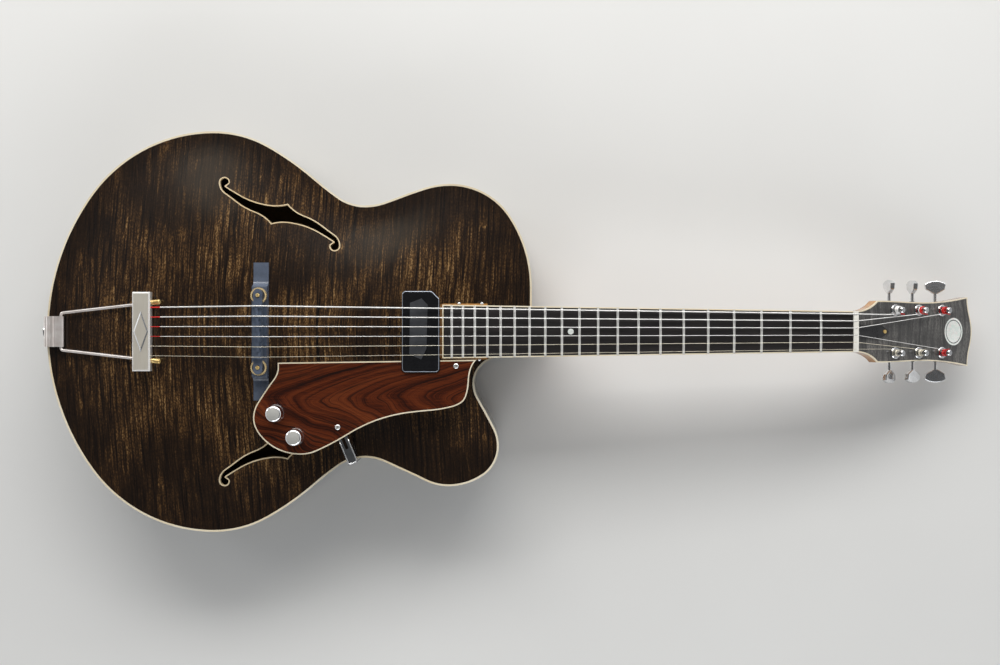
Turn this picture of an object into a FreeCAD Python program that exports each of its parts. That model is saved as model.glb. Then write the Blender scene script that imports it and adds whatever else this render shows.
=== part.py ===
import FreeCAD, Part
import math
import os
from types import SimpleNamespace
from FreeCAD import Placement, Rotation, Vector

# Archtop guitar lying on its back: +X runs from the tail to the head, +Y is the bass side, +Z comes
# out of the soundboard. The origin is under the middle of the overall length, level with the lowest
# point of the arched back.

# Driving dimensions: millimetres, degrees and counts
dimensions = {
    # scale, fingerboard and nut
    "scale_length": 635.0,
    "fret_count": 20,
    "joint_fret": 14,
    "joint_fret_inset": 3.0,
    "nut_width": 44.5,
    "nut_thickness": 5.5,
    "nut_height": 1.9,
    "nut_clearance": 0.5,
    "board_end_width": 57.0,
    "board_overhang": 10.0,
    "board_thickness": 6.0,
    "board_radius": 305.0,
    "board_rise": 21.6,
    "fret_width": 2.6,
    "fret_height": 1.1,
    "fret_end_inset": 0.6,
    "marker_radius": 3.2,
    "marker_depth": 1.5,
    "marker_fret": 12,
    "fine_binding": 1.3,
    "neck_angle": 3.6,
    # body outline
    "body_length": 525.5,
    "lower_bout_width": 434.0,
    "lower_bout_from_joint": 344.5,
    "waist_width": 273.2,
    "waist_from_joint": 180.5,
    "upper_bout_half": 160.0,
    "upper_bout_from_joint": 88.5,
    "shoulder_half": 48.0,
    "horn_half": 167.6,
    "horn_from_joint": 90.5,
    "horn_tip_half": 124.0,
    "horn_tip_back": 35.8,
    "cutaway_root_half": 56.0,
    "cutaway_root_back": 62.4,
    "neck_side_half": 26.0,
    "neck_side_back": 26.5,
    "flank_angle": 41.0,
    "rise_angle": 21.0,
    "horn_rise_angle": 24.0,
    "cutaway_lean": 29.0,
    # body walls
    "rim_height": 68.0,
    "rim_thickness": 2.5,
    "plate_thickness": 5.0,
    "top_arch": 20.0,
    "back_arch": 16.0,
    "body_binding": 2.0,
    "lining_width": 6.0,
    "lining_height": 14.0,
    "tone_bar_width": 8.0,
    "tone_bar_height": 13.0,
    "tone_bar_tail_gap": 45.0,
    "tone_bar_head_gap": 66.0,
    "tone_bar_offset": 36.0,
    "neck_block_depth": 55.0,
    "neck_block_width": 48.0,
    "tail_block_depth": 30.0,
    "tail_block_width": 100.0,
    "glue_gap": 0.1,
    "press_gap": 0.05,
    # sound holes
    "sound_hole_from_bridge": 14.0,
    "sound_hole_offset": 126.5,
    "sound_hole_notch_along": 8.5,
    "sound_hole_notch_across": 11.6,
    "sound_hole_mid_along": 25.0,
    "sound_hole_mid_dip": 1.4,
    "sound_hole_eye_along": 59.4,
    "sound_hole_eye_across": 34.6,
    "sound_hole_eye_radius": 5.7,
    "sound_hole_slope": 33.0,
    # neck and headstock
    "neck_depth_nut": 15.0,
    "neck_depth_heel": 18.5,
    "heel_length": 85.0,
    "heel_cap_thickness": 3.0,
    "tenon_width": 24.0,
    "tenon_length": 18.0,
    "tenon_height": 50.0,
    "tenon_drop": 6.1,
    "tenon_root": 6.0,
    "riser_clearance": 2.4,
    "riser_inset": 2.0,
    "volute_length": 21.6,
    "volute_flare": 4.0,
    "head_pitch": 17.0,
    "head_step": 3.5,
    "head_length": 157.2,
    "head_thickness": 13.0,
    "head_veneer": 2.0,
    "head_shoulder_half": 33.8,
    "head_shoulder_along": 27.0,
    "head_waist_half": 32.6,
    "head_tip_half": 39.0,
    "head_tip_drop": 6.0,
    "inlay_length": 31.0,
    "inlay_width": 25.3,
    "inlay_from_tip": 25.7,
    "truss_radius": 2.6,
    "truss_slot_width": 6.0,
    "truss_slot_depth": 8.0,
    "truss_end_gap": 2.0,
    "truss_pocket_margin": 1.0,
    "truss_pocket_length": 17.6,
    "truss_cover_length": 41.0,
    "truss_cover_width": 14.0,
    "truss_cover_thickness": 2.0,
    "truss_cover_gap": 0.5,
    "truss_cover_shoulder": 29.5,
    "cover_screw_from_tip": 6.0,
    "cover_screw_radius": 1.1,
    "cover_screw_head": 2.0,
    "cover_screw_crown": 0.9,
    # tuners
    "tuner_first": 50.5,
    "tuner_spacing": 32.0,
    "tuner_offset": 23.6,
    "post_radius": 3.0,
    "post_height": 14.0,
    "post_waist": 0.5,
    "post_step": 1.0,
    "post_foot": 1.0,
    "post_collar": 1.2,
    "post_cap": 3.5,
    "post_lip": 0.3,
    "post_edge": 0.8,
    "post_hole_radius": 0.9,
    "post_hole_drop": 2.0,
    "gear_radius": 5.5,
    "gear_thickness": 3.8,
    "worm_radius": 2.4,
    "worm_end_gap": 0.4,
    "key_shaft_radius": 2.0,
    "shaft_sink": 1.0,
    "collar_step": 1.2,
    "collar_length": 2.0,
    "collar_gap": 0.3,
    "housing_depth": 9.4,
    "housing_wall": 1.6,
    "housing_margin": 1.2,
    "housing_corner": 3.0,
    "housing_edge": 1.4,
    "ear_offset": 5.5,
    "ear_radius": 3.4,
    "ear_thickness": 2.4,
    "bushing_radius": 6.3,
    "bushing_height": 2.2,
    "bushing_sleeve": 4.6,
    "bushing_edge": 0.7,
    "running_gap": 0.1,
    "key_reach": 58.0,
    "button_width": 24.0,
    "button_length": 15.0,
    "button_thickness": 5.6,
    "button_edge": 1.4,
    "button_neck": 0.8,
    "tuner_screw_radius": 1.2,
    "tuner_screw_head": 2.1,
    "tuner_screw_crown": 1.1,
    "tuner_screw_reach": 5.0,
    # bridge
    "bridge_length": 147.0,
    "bridge_width": 16.0,
    "bridge_set_back": 3.2,
    "bridge_height": 10.0,
    "bridge_foot": 3.0,
    "bridge_flat_margin": 1.0,
    "bridge_scoop": 6.0,
    "bridge_scoop_rise": 0.45,
    "stud_spacing": 76.0,
    "stud_radius": 2.0,
    "stud_length": 17.0,
    "stud_depth": 7.0,
    "stud_edge": 0.4,
    "wheel_radius": 8.5,
    "wheel_thickness": 3.0,
    "wheel_lift": 1.6,
    "wheel_notches": 28,
    "wheel_notch_radius": 0.5,
    "saddle_length": 90.0,
    "saddle_width": 9.2,
    "saddle_crown": 3.0,
    "saddle_ridge": 1.7,
    "saddle_ledge": 4.1,
    "saddle_step": 9.0,
    "saddle_bore_gap": 0.3,
    "action": 4.5,
    # tailpiece and end pin
    "hinge_from_tail": 17.5,
    "hinge_rise": 5.4,
    "hinge_width": 33.0,
    "sheet_thickness": 1.3,
    "hinge_leg": 56.0,
    "hinge_bend": 5.0,
    "sheet_gap": 0.3,
    "rod_radius": 1.5,
    "rod_base_half": 20.0,
    "rod_end_half": 31.4,
    "rod_bend": 2.6,
    "rod_tip": 6.75,
    "rod_drop": 1.5,
    "crossbar_from_tail": 110.9,
    "crossbar_width": 19.0,
    "crossbar_length": 84.0,
    "crossbar_wall": 2.2,
    "crossbar_clearance": 2.4,
    "crossbar_seat": 4.95,
    "crossbar_roof": 1.85,
    "crossbar_edge": 1.6,
    "string_hole_gap": 0.25,
    "diamond_length": 36.5,
    "diamond_width": 13.0,
    "diamond_height": 0.8,
    "rod_nut_radius": 2.7,
    "rod_nut_length": 9.0,
    "rod_nut_grip": 6.1,
    "rod_nut_edge": 0.8,
    "pin_height": 38.0,
    "pin_length": 18.0,
    "pin_radius": 7.5,
    "pin_flange": 9.0,
    "pin_flange_thickness": 2.0,
    "pin_edge": 1.0,
    "pin_lip": 4.0,
    "pin_waist": 2.2,
    "pin_shank": 6.0,
    "pin_shank_length": 34.0,
    "jack_radius": 3.25,
    "jack_depth": 32.0,
    "hinge_screw_radius": 1.8,
    "hinge_screw_head": 3.6,
    "hinge_screw_crown": 1.8,
    "hinge_screw_edge": 1.2,
    "hinge_screw_length": 22.0,
    "hinge_screw_spacing": 18.0,
    "hinge_screw_drop": 16.0,
    # pickguard, pickup and controls
    "guard_thickness": 3.5,
    "guard_clearance": 0.7,
    "guard_inner_half": 33.0,
    "guard_pickup_gap": 0.8,
    "guard_screw_radius": 1.5,
    "guard_screw_head": 3.0,
    "guard_screw_crown": 2.0,
    "guard_screw_edge": 1.4,
    "guard_screw_reach": 5.0,
    "guard_socket_radius": 1.1,
    "guard_socket_depth": 1.2,
    "guard_block_length": 16.0,
    "guard_block_width": 12.0,
    "bracket_width": 10.6,
    "bracket_thickness": 1.4,
    "bracket_lead": 16.0,
    "bracket_overhang": 2.6,
    "bracket_tail": 7.0,
    "bracket_slot_width": 3.4,
    "bracket_slot_end": 16.6,
    "bracket_leg": 26.0,
    "pickup_length": 86.0,
    "pickup_width": 39.4,
    "pickup_height": 10.5,
    "pickup_wall": 1.5,
    "pickup_gap": 0.7,
    "pickup_corner": 4.0,
    "pickup_clearance": 2.5,
    "pickup_bevel": 8.0,
    "pickup_edge": 1.2,
    "coil_gap": 0.5,
    "coil_end_gap": 6.0,
    "magnet_width": 5.6,
    "magnet_height": 3.5,
    "plate_margin": 2.6,
    "plate_length": 51.0,
    "plate_depth": 2.5,
    "pot_radius": 7.0,
    "pot_height": 5.0,
    "knob_radius": 9.2,
    "knob_height": 16.0,
    "knob_crown": 3.5,
    "knob_shaft_radius": 2.4,
    "knob_shaft_depth": 1.0,
    "knob_hole_gap": 0.6,
    "knob_gap": 0.5,
    "knob_skirt": 2.2,
    "knob_skirt_step": 0.6,
    "knob_edge": 1.2,
    # strings
    "nut_spread": 38.2,
    "saddle_spread": 53.6,
    "tail_spread": 51.0,
    "ball_radius": 1.9,
    "ball_length": 3.4,
    "ball_gap": 0.3,
    "winding_gap": 0.5,
    "winding_turns": 3,
    "winding_clear": 0.25,
    "winding_lift": 1.0,
    "string_lead": 9.0,
    "string_stub": 5.0,
    "string_bend": 4.0,
    "string_rest": 0.05,
    "groove_reach": 8.0,
    "string_clear": 0.18,
}

doc = FreeCAD.newDocument("archtop_guitar")
sheet = doc.addObject("Spreadsheet::Sheet", "dims")
for row, (alias, value) in enumerate(dimensions.items(), start=1):
    sheet.set(f"A{row}", alias)
    sheet.set(f"B{row}", str(value))
    sheet.setAlias(f"B{row}", alias)
doc.recompute()
dim = SimpleNamespace(**{alias: float(sheet.get(alias)) for alias in dimensions})
finished = []

# How far cutting tools run past a face, and a length that clears the whole guitar
overcut = 1.0
beyond = dim.body_length + dim.scale_length

# String gauges and bridge compensation from the bass string to the treble string
gauges = (1.32, 1.07, 0.81, 0.61, 0.41, 0.30)
compensation = (4.4, 3.6, 2.6, 1.6, 2.8, 1.4)

# Levels of the body, from the lowest point of the back upwards
back_edge_z = dim.back_arch
rim_floor_z = back_edge_z + dim.plate_thickness
rim_top_z = rim_floor_z + dim.rim_height
top_edge_z = rim_top_z + dim.plate_thickness
board_top_z = top_edge_z + dim.board_rise


def fret_run(number):
    return dim.scale_length * (1 - 2 ** (-number / 12))


# Lengths along the neck, from the body joint to the nut and from the joint back to the board's end
nut_run = fret_run(dim.joint_fret) - dim.joint_fret_inset
board_length = fret_run(dim.fret_count) + dim.board_overhang
board_tail = nut_run - board_length
lean = math.radians(dim.neck_angle)
pitch = math.radians(dim.head_pitch)
head_x = nut_run + dim.nut_thickness + dim.head_length * math.cos(pitch)
head_drop = dim.head_step + dim.head_length * math.sin(pitch)
head_reach = head_x * math.cos(lean) - head_drop * math.sin(lean)
joint_x = (dim.body_length + dim.pin_length - head_reach) / 2
tail_x = joint_x - dim.body_length

tilt_axis = Vector(0, 1, 0)
neck_frame = Placement(Vector(joint_x, 0, board_top_z), Rotation(tilt_axis, dim.neck_angle))
head_frame = neck_frame * Placement(
    Vector(nut_run + dim.nut_thickness, 0, -dim.head_step), Rotation(tilt_axis, dim.head_pitch))


def level(x, y, z=0.0):
    return Placement(Vector(x, y, z), Rotation())


def heading(degrees):
    return Vector(math.cos(math.radians(degrees)), math.sin(math.radians(degrees)), 0)


# One arc that leaves a point along a tangent and ends at another point
def arc_edge(start, tangent, end):
    chord = end - start
    along = Vector(chord).normalize()
    side = tangent - along * tangent.dot(along)
    if side.Length < 1e-6:
        return Part.LineSegment(start, end).toShape()
    half_turn = math.atan2(side.Length, tangent.dot(along))
    bow = chord.Length / 2 * math.tan(half_turn / 2)
    middle = start + chord * 0.5 + side.normalize() * bow
    return Part.Arc(start, middle, end).toShape()


# Two tangent arcs that join two points with a given direction at each
def biarc(start, start_way, end, end_way):
    span = end - start
    lead = span.dot(start_way + end_way)
    spread = 2 * (1 - start_way.dot(end_way))
    if spread < 1e-9:
        reach = span.dot(span) / (4 * span.dot(end_way))
    else:
        reach = (math.sqrt(lead * lead + spread * span.dot(span)) - lead) / spread
    meet = (start + start_way * reach + end - end_way * reach) * 0.5
    meet_way = (span - (start_way + end_way) * reach).normalize()
    return [arc_edge(start, start_way, meet), arc_edge(meet, meet_way, end)]


# A run of tangent arcs through stations (x, y, heading)
def smooth_run(stations):
    edges = []
    for (ax, ay, aim), (bx, by, bim) in zip(stations, stations[1:]):
        edges += biarc(Vector(ax, ay, 0), heading(aim), Vector(bx, by, 0), heading(bim))
    return edges


def straight_run(points):
    corners = [Vector(x, y, 0) for x, y in points]
    return [Part.LineSegment(a, b).toShape() for a, b in zip(corners, corners[1:])]


def wire_of(edges):
    return Part.Wire(Part.__sortEdges__(edges))


def offset_wire(wire, distance):
    return wire.makeOffset2D(distance, 0, False, False)


def prism(wires, low, high, frame=Placement()):
    wires = wires if isinstance(wires, list) else [wires]
    face = Part.Face(wires[0])
    for hole in wires[1:]:
        face = face.cut(Part.Face(hole)).Faces[0]
    solid = face.extrude(Vector(0, 0, high - low))
    solid.translate(Vector(0, 0, low))
    solid.Placement = frame * solid.Placement
    return solid


def block(low, high, frame=Placement()):
    solid = Part.makeBox(high.x - low.x, high.y - low.y, high.z - low.z, low)
    solid.Placement = frame * solid.Placement
    return solid


def rod(radius, start, end):
    return Part.makeCylinder(radius, (end - start).Length, start, end - start)


def moved(shape, frame):
    copy = shape.copy()
    copy.Placement = frame * copy.Placement
    return copy


# The main solid of a cut shape
def largest(shape):
    return max(shape.Solids, key=lambda solid: solid.Volume)


def finish(obj, label):
    obj.Label = label
    finished.append(obj)
    return obj


def feature(label, shape):
    return finish(helper(label, shape), label)


def origin_plane(body, role):
    return next(plane for plane in body.Origin.OriginFeatures if plane.Role == role)


# Sketch geometry from an edge, always drawn anticlockwise
def sketch_curve(edge):
    start = edge.valueAt(edge.FirstParameter)
    end = edge.valueAt(edge.LastParameter)
    if isinstance(edge.Curve, (Part.Line, Part.LineSegment)):
        return Part.LineSegment(start, end)
    if edge.isClosed():
        return Part.Circle(edge.Curve.Center, Vector(0, 0, 1), edge.Curve.Radius)
    center = edge.Curve.Center
    angles = [math.atan2(point.y - center.y, point.x - center.x) for point in (start, end)]
    if edge.Curve.Axis.z < 0:
        angles.reverse()
    circle = Part.Circle(center, Vector(0, 0, 1), edge.Curve.Radius)
    return Part.ArcOfCircle(circle, angles[0], angles[1])


def sketch_in(body, name, wires, role="XY_Plane"):
    sketch = body.newObject("Sketcher::SketchObject", name)
    sketch.AttachmentSupport = [(origin_plane(body, role), "")]
    sketch.MapMode = "FlatFace"
    for wire in wires:
        for edge in wire.Edges:
            sketch.addGeometry(sketch_curve(edge), False)
    return sketch


# A body made by padding closed outlines upwards from its own XY plane
def padded(label, wires, height, frame):
    body = doc.addObject("PartDesign::Body", label)
    sketch = sketch_in(body, label + "_outline", wires)
    pad = body.newObject("PartDesign::Pad", label + "_pad")
    pad.Profile = sketch
    pad.setExpression("Length", height)
    sketch.Visibility = False
    body.Placement = frame
    return body


# A turned body: a closed half profile (radius, height) about its own Z axis
def turned(label, edges, frame):
    body = doc.addObject("PartDesign::Body", label)
    sketch = sketch_in(body, label + "_profile", [wire_of(edges)], "XZ_Plane")
    revolution = body.newObject("PartDesign::Revolution", label + "_turn")
    revolution.Profile = sketch
    revolution.ReferenceAxis = (sketch, ["V_Axis"])
    revolution.Angle = 360.0
    sketch.Visibility = False
    body.Placement = frame
    return body


def boolean(kind, label, base, tools):
    obj = doc.addObject(kind, label)
    if kind == "Part::Cut":
        obj.Base = base
        obj.Tool = tools
    elif kind == "Part::Compound":
        obj.Links = [base] + tools
    else:
        obj.Shapes = [base] + tools
    return obj


def helper(name, shape):
    obj = doc.addObject("Part::Feature", name)
    obj.Shape = Part.makeCompound(shape) if isinstance(shape, list) else shape
    return obj


# Body outline: tangent arcs from the tail round the bass side to the neck, then back by the cutaway
def between(a, b, share):
    return a + (b - a) * share


def body_outline():
    lower_x = joint_x - dim.lower_bout_from_joint
    waist_x = joint_x - dim.waist_from_joint
    upper_x = joint_x - dim.upper_bout_from_joint
    horn_x = joint_x - dim.horn_from_joint
    lower = dim.lower_bout_width / 2
    waist = dim.waist_width / 2
    flank = (between(lower_x, waist_x, 0.67), between(lower, waist, 0.64))
    rise = (between(waist_x, upper_x, 0.42), between(waist, dim.upper_bout_half, 0.43))
    horn_rise = (between(waist_x, horn_x, 0.46), between(waist, dim.horn_half, 0.45))
    root = (joint_x - dim.cutaway_root_back, -dim.cutaway_root_half)
    tip = (joint_x - dim.horn_tip_back, -dim.horn_tip_half)
    cheek = (between(root[0], tip[0], 0.48), between(root[1], tip[1], 0.46))
    side_x = joint_x - dim.neck_side_back
    bass = smooth_run([
        (tail_x, 0, 90),
        (lower_x, lower, 0),
        (flank[0], flank[1], -dim.flank_angle),
        (waist_x, waist, 0),
        (rise[0], rise[1], dim.rise_angle),
        (upper_x, dim.upper_bout_half, 0),
        (joint_x, dim.shoulder_half, -90)])
    joint = straight_run([
        (joint_x, dim.shoulder_half),
        (joint_x, -dim.neck_side_half),
        (side_x, -dim.neck_side_half)])
    treble = smooth_run([
        (side_x, -dim.neck_side_half, 180),
        (root[0], root[1], 270),
        (cheek[0], cheek[1], 270 + dim.cutaway_lean),
        (tip[0], tip[1], 270),
        (horn_x, -dim.horn_half, 180),
        (horn_rise[0], -horn_rise[1], 180 - dim.horn_rise_angle),
        (waist_x, -waist, 180),
        (flank[0], -flank[1], 180 + dim.flank_angle),
        (lower_x, -lower, 180),
        (tail_x, 0, 90)])
    return wire_of(bass + joint + treble)


outline = body_outline()
plate_outline = offset_wire(outline, -dim.body_binding)
rim_inside = offset_wire(outline, -dim.rim_thickness)
lining_inside = offset_wire(outline, -dim.rim_thickness - dim.lining_width)

# Arch: the height share rises smoothly from the edge to the middle of the lower bout. The distance
# from the edge is the inverse mean of the cubed distances to the whole outline, so it has no ridges.
edge_samples = 240
edge_softness = 0.1
edge_points = outline.discretize(Number=edge_samples + 1)[:-1]
edge_step = outline.Length / len(edge_points)


def edge_distance(x, y):
    pull = sum(((p.x - x) ** 2 + (p.y - y) ** 2 + edge_softness ** 2) ** -1.5 for p in edge_points)
    return (edge_step * pull) ** -0.5


def inside_outline(x, y):
    crossings = 0
    for p, q in zip(edge_points, edge_points[1:] + edge_points[:1]):
        if (p.y > y) != (q.y > y) and x < p.x + (y - p.y) / (q.y - p.y) * (q.x - p.x):
            crossings += 1
    return crossings % 2 == 1


crest_steps = 60
crest = max(edge_distance(between(tail_x, joint_x, i / crest_steps), 0) for i in range(1, crest_steps))


def arch_share(x, y):
    if not inside_outline(x, y):
        return 0.0
    share = min(edge_distance(x, y) / crest, 1.0)
    return share * share * (3 - 2 * share)


arch_rows = 46
arch_columns = 40
arch_margin = 3 * dim.body_binding
half_span = max(dim.lower_bout_width / 2, dim.horn_half) + arch_margin
arch_start = tail_x - arch_margin
arch_end = joint_x + arch_margin
grid_x = [between(arch_start, arch_end, i / (arch_rows - 1)) for i in range(arch_rows)]
grid_y = [between(-half_span, half_span, j / (arch_columns - 1)) for j in range(arch_columns)]
shares = [[arch_share(x, y) for y in grid_y] for x in grid_x]


def arched_face(edge_z, arch):
    rows = [[Vector(x, y, edge_z + arch * share) for y, share in zip(grid_y, row)]
            for x, row in zip(grid_x, shares)]
    surface = Part.BSplineSurface()
    surface.interpolate(rows)
    return surface.toShape()


top_face = arched_face(top_edge_z, dim.top_arch)
back_face = arched_face(back_edge_z, -dim.back_arch)


def top_z(x, y):
    return top_edge_z + dim.top_arch * arch_share(x, y)


def highest_top(points):
    return max(top_z(point.x, point.y) for point in points)


# A solid that rises or falls from an arched face
def arch_slab(face, low, high):
    shifted = face.copy()
    shifted.translate(Vector(0, 0, low))
    return shifted.extrude(Vector(0, 0, high - low))


# Bridge line and the sound holes beside it
saddle_run = dim.scale_length - nut_run
bridge_x = joint_x - saddle_run
seat_x = bridge_x - dim.bridge_set_back


def sound_hole_wire(side):
    notch = (-dim.sound_hole_notch_along, -dim.sound_hole_notch_across)
    mid = (dim.sound_hole_mid_along, notch[1] - dim.sound_hole_mid_dip)
    eye_x = dim.sound_hole_eye_along
    eye_y = -dim.sound_hole_eye_across
    eye = dim.sound_hole_eye_radius
    slope = dim.sound_hole_slope
    cusp = (eye_x - 0.3 * eye, eye_y + 0.8 * eye)
    inner = smooth_run([(notch[0], notch[1], 18), (mid[0], mid[1], -17), (cusp[0], cusp[1], -slope)])
    loop = smooth_run([
        (cusp[0], cusp[1], 215),
        (eye_x - eye, eye_y, 270),
        (eye_x, eye_y - eye, 0),
        (eye_x + 1.07 * eye, eye_y, 90),
        (0.77 * eye_x, 0.35 * eye_y, 175 - slope),
        (-notch[0], -notch[1], 128)])
    half = inner + loop
    other = []
    for edge in half:
        turned_edge = edge.copy()
        turned_edge.rotate(Vector(), Vector(0, 0, 1), 180)
        other.append(turned_edge)
    wire = wire_of(half + other)
    if side < 0:
        wire = wire.mirror(Vector(), Vector(0, 1, 0))
    wire.translate(Vector(bridge_x + dim.sound_hole_from_bridge, side * dim.sound_hole_offset, 0))
    return wire


hole_outer = [sound_hole_wire(side) for side in (1, -1)]
hole_inner = [offset_wire(wire, -dim.fine_binding) for wire in hole_outer]


# Soundboard, back and their bindings
def build_plates():
    plate = dim.plate_thickness
    spare = dim.plate_thickness
    top_blank = padded("top_blank", [plate_outline], "3 * dims.plate_thickness + dims.top_arch",
                       level(0, 0, rim_top_z - spare))
    top_slab = helper("top_arch_slab", arch_slab(top_face, -plate, 0))
    top_carved = boolean("Part::MultiCommon", "top_carved", top_blank, [top_slab])
    holes = helper("sound_hole_tools", [
        prism(wire, rim_top_z - spare, top_edge_z + dim.top_arch + spare) for wire in hole_outer])
    finish(boolean("Part::Cut", "top_plate", top_carved, holes), "top_plate")

    back_blank = padded("back_blank", [plate_outline], "3 * dims.plate_thickness + dims.back_arch",
                        level(0, 0, -spare))
    back_slab = helper("back_arch_slab", arch_slab(back_face, 0, plate))
    finish(boolean("Part::MultiCommon", "back_plate", back_blank, [back_slab]), "back_plate")

    rings = [outline, plate_outline]
    top_ring = padded("top_binding", rings, "dims.plate_thickness", level(0, 0, rim_top_z))
    back_ring = padded("back_binding", rings, "dims.plate_thickness", level(0, 0, back_edge_z))
    finish(boolean("Part::Compound", "body_bindings", top_ring, [back_ring]), "body_bindings")

    slab = arch_slab(top_face, -plate, 0)
    rings = [prism([outer, inner], rim_top_z - spare, top_edge_z + dim.top_arch + spare).common(slab)
             for outer, inner in zip(hole_outer, hole_inner)]
    feature("sound_hole_bindings", [ring.Solids[0] for ring in rings])


# Ribs, linings, blocks and tone bars inside the body
pin_z = back_edge_z + dim.pin_height
tenon_top_z = rim_top_z - dim.tenon_drop
tenon_low_z = tenon_top_z - dim.tenon_height


def tenon(clearance, reach):
    half = dim.tenon_width / 2 + clearance
    return block(Vector(joint_x - dim.tenon_length - clearance, -half, tenon_low_z - clearance),
                 Vector(joint_x + reach, half, tenon_top_z + clearance))


def pin_bore():
    return rod(dim.pin_shank + dim.glue_gap, Vector(tail_x - dim.pin_length, 0, pin_z),
               Vector(tail_x + dim.tail_block_depth + dim.pin_shank_length, 0, pin_z))


def hinge_screw_bores(radius):
    z = rim_top_z - dim.hinge_screw_drop
    y = dim.hinge_screw_spacing / 2
    return [rod(radius, Vector(tail_x - dim.pin_length, side * y, z),
                Vector(tail_x + dim.hinge_screw_length, side * y, z)) for side in (1, -1)]


def inside_plates(shape):
    gap = dim.glue_gap
    plate = dim.plate_thickness
    depth = dim.rim_height + dim.top_arch + dim.back_arch
    over = arch_slab(top_face, -plate - gap, depth)
    under = arch_slab(back_face, plate + gap, -depth)
    return shape.cut(over).cut(under)


# The side is bent from short ribs, which meet at the widest and the narrowest places of the outline.
# The cutaway has a rib of its own.
def rib_zones():
    gap = dim.glue_gap
    half = dim.horn_tip_half
    root_x = joint_x - dim.cutaway_root_back - dim.horn_tip_back
    cutaway_side = block(Vector(root_x, -half - gap, 0), Vector(beyond, 0, beyond))
    zones = {"rib_cutaway": block(Vector(root_x, -half, 0), Vector(beyond, -gap, beyond))}
    stations = (dim.lower_bout_from_joint, dim.waist_from_joint, dim.upper_bout_from_joint)
    seams = [joint_x - station for station in stations]
    starts = [-beyond] + [seam + gap for seam in seams]
    ends = seams + [beyond]
    for number, (start, end) in enumerate(zip(starts, ends), 1):
        zones[f"rib_bass_{number}"] = block(Vector(start, 0, 0), Vector(end, beyond, beyond))
        treble = block(Vector(start, -beyond, 0), Vector(end, -gap, beyond))
        zones[f"rib_treble_{number}"] = treble.cut(cutaway_side)
    return zones


def neck_block_box():
    half = dim.neck_block_width / 2
    return block(Vector(joint_x - dim.neck_block_depth, -half, 0), Vector(joint_x, half, board_top_z))


def tail_block_box():
    half = dim.tail_block_width / 2
    return block(Vector(tail_x, -half, 0), Vector(tail_x + dim.tail_block_depth, half, board_top_z))


def build_frame():
    gap = dim.glue_gap
    ring = padded("rim_ring", [outline, rim_inside], "dims.rim_height", level(0, 0, rim_floor_z))
    bores = [pin_bore()] + hinge_screw_bores(dim.hinge_screw_radius)
    openings = helper("rim_openings", [tenon(gap, overcut)] + bores)
    walls = boolean("Part::Cut", "rim_walls", ring, openings)
    ribs = [boolean("Part::MultiCommon", name, walls, [helper(name + "_zone", zone)])
            for name, zone in rib_zones().items()]
    finish(boolean("Part::Compound", "rims", ribs[0], ribs[1:]), "rims")

    seat_wire = offset_wire(outline, -dim.rim_thickness - gap)
    blocks = Part.makeCompound([neck_block_box(), tail_block_box()])
    strips = []
    for low in (rim_floor_z + gap, rim_top_z - gap - dim.lining_height):
        strip = prism([seat_wire, lining_inside], low, low + dim.lining_height)
        strips += strip.cut(blocks).Solids
    feature("linings", strips)

    seat = prism(seat_wire, 0, board_top_z)
    neck_wood = inside_plates(seat.common(neck_block_box()).cut(tenon(gap, overcut)))
    tail_wood = inside_plates(seat.common(tail_block_box()))
    for bore in bores:
        tail_wood = tail_wood.cut(bore)
    feature("end_blocks", [neck_wood.Solids[0], tail_wood.Solids[0]])

    bars = []
    top = -dim.plate_thickness - gap
    layer = arch_slab(top_face, top - dim.tone_bar_height, top)
    tail_end = tail_x + dim.tail_block_depth + dim.tone_bar_tail_gap
    head_end = joint_x - dim.neck_block_depth - dim.tone_bar_head_gap
    half = dim.tone_bar_width / 2
    for side in (1, -1):
        y = side * dim.tone_bar_offset
        plan = block(Vector(tail_end, y - half, 0), Vector(head_end, y + half, board_top_z))
        bars.append(plan.common(layer).Solids[0])
    feature("tone_bars", bars)


# Fingerboard: tapered, with a crowned top
def board_width(run):
    return dim.nut_width + (dim.board_end_width - dim.nut_width) * (nut_run - run) / board_length


def board_wire(inset):
    end = board_tail + inset
    near = board_width(nut_run) / 2 - inset
    far = board_width(end) / 2 - inset
    corners = [(nut_run, near), (nut_run, -near), (end, -far), (end, far), (nut_run, near)]
    return wire_of(straight_run(corners))


def crown_cylinder():
    start = Vector(board_tail - overcut, 0, -dim.board_radius)
    return Part.makeCylinder(dim.board_radius, board_length + 2 * overcut, start, Vector(1, 0, 0))


def build_board():
    low = neck_frame * level(0, 0, -dim.board_thickness)
    crown = helper("board_crown", moved(crown_cylinder(), neck_frame))
    marker_run = nut_run - (fret_run(dim.marker_fret - 1) + fret_run(dim.marker_fret)) / 2
    marker = rod(dim.marker_radius, Vector(marker_run, 0, -dim.marker_depth),
                 Vector(marker_run, 0, dim.board_thickness))
    marker_hole = helper("marker_hole", moved(marker, neck_frame))
    blank = padded("board_blank", [board_wire(dim.fine_binding)], "dims.board_thickness", low)
    crowned = boolean("Part::MultiCommon", "board_crowned", blank, [crown])
    finish(boolean("Part::Cut", "fretboard", crowned, marker_hole), "fretboard")
    strip = wire_of(straight_run(binding_path()))
    edge_blank = padded("board_edge_blank", [strip], "dims.board_thickness", low)
    finish(boolean("Part::MultiCommon", "fretboard_binding", edge_blank, [crown]), "fretboard_binding")
    dot = moved(marker.common(crown_cylinder()), neck_frame)
    oval = moved(prism(inlay_wire(), -dim.head_veneer / 2, 0), head_frame)
    feature("pearl_inlays", [dot, oval])
    numbers = range(1, int(dim.fret_count) + 1)
    feature("frets", [moved(fret_shape(number), neck_frame) for number in numbers])


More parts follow.
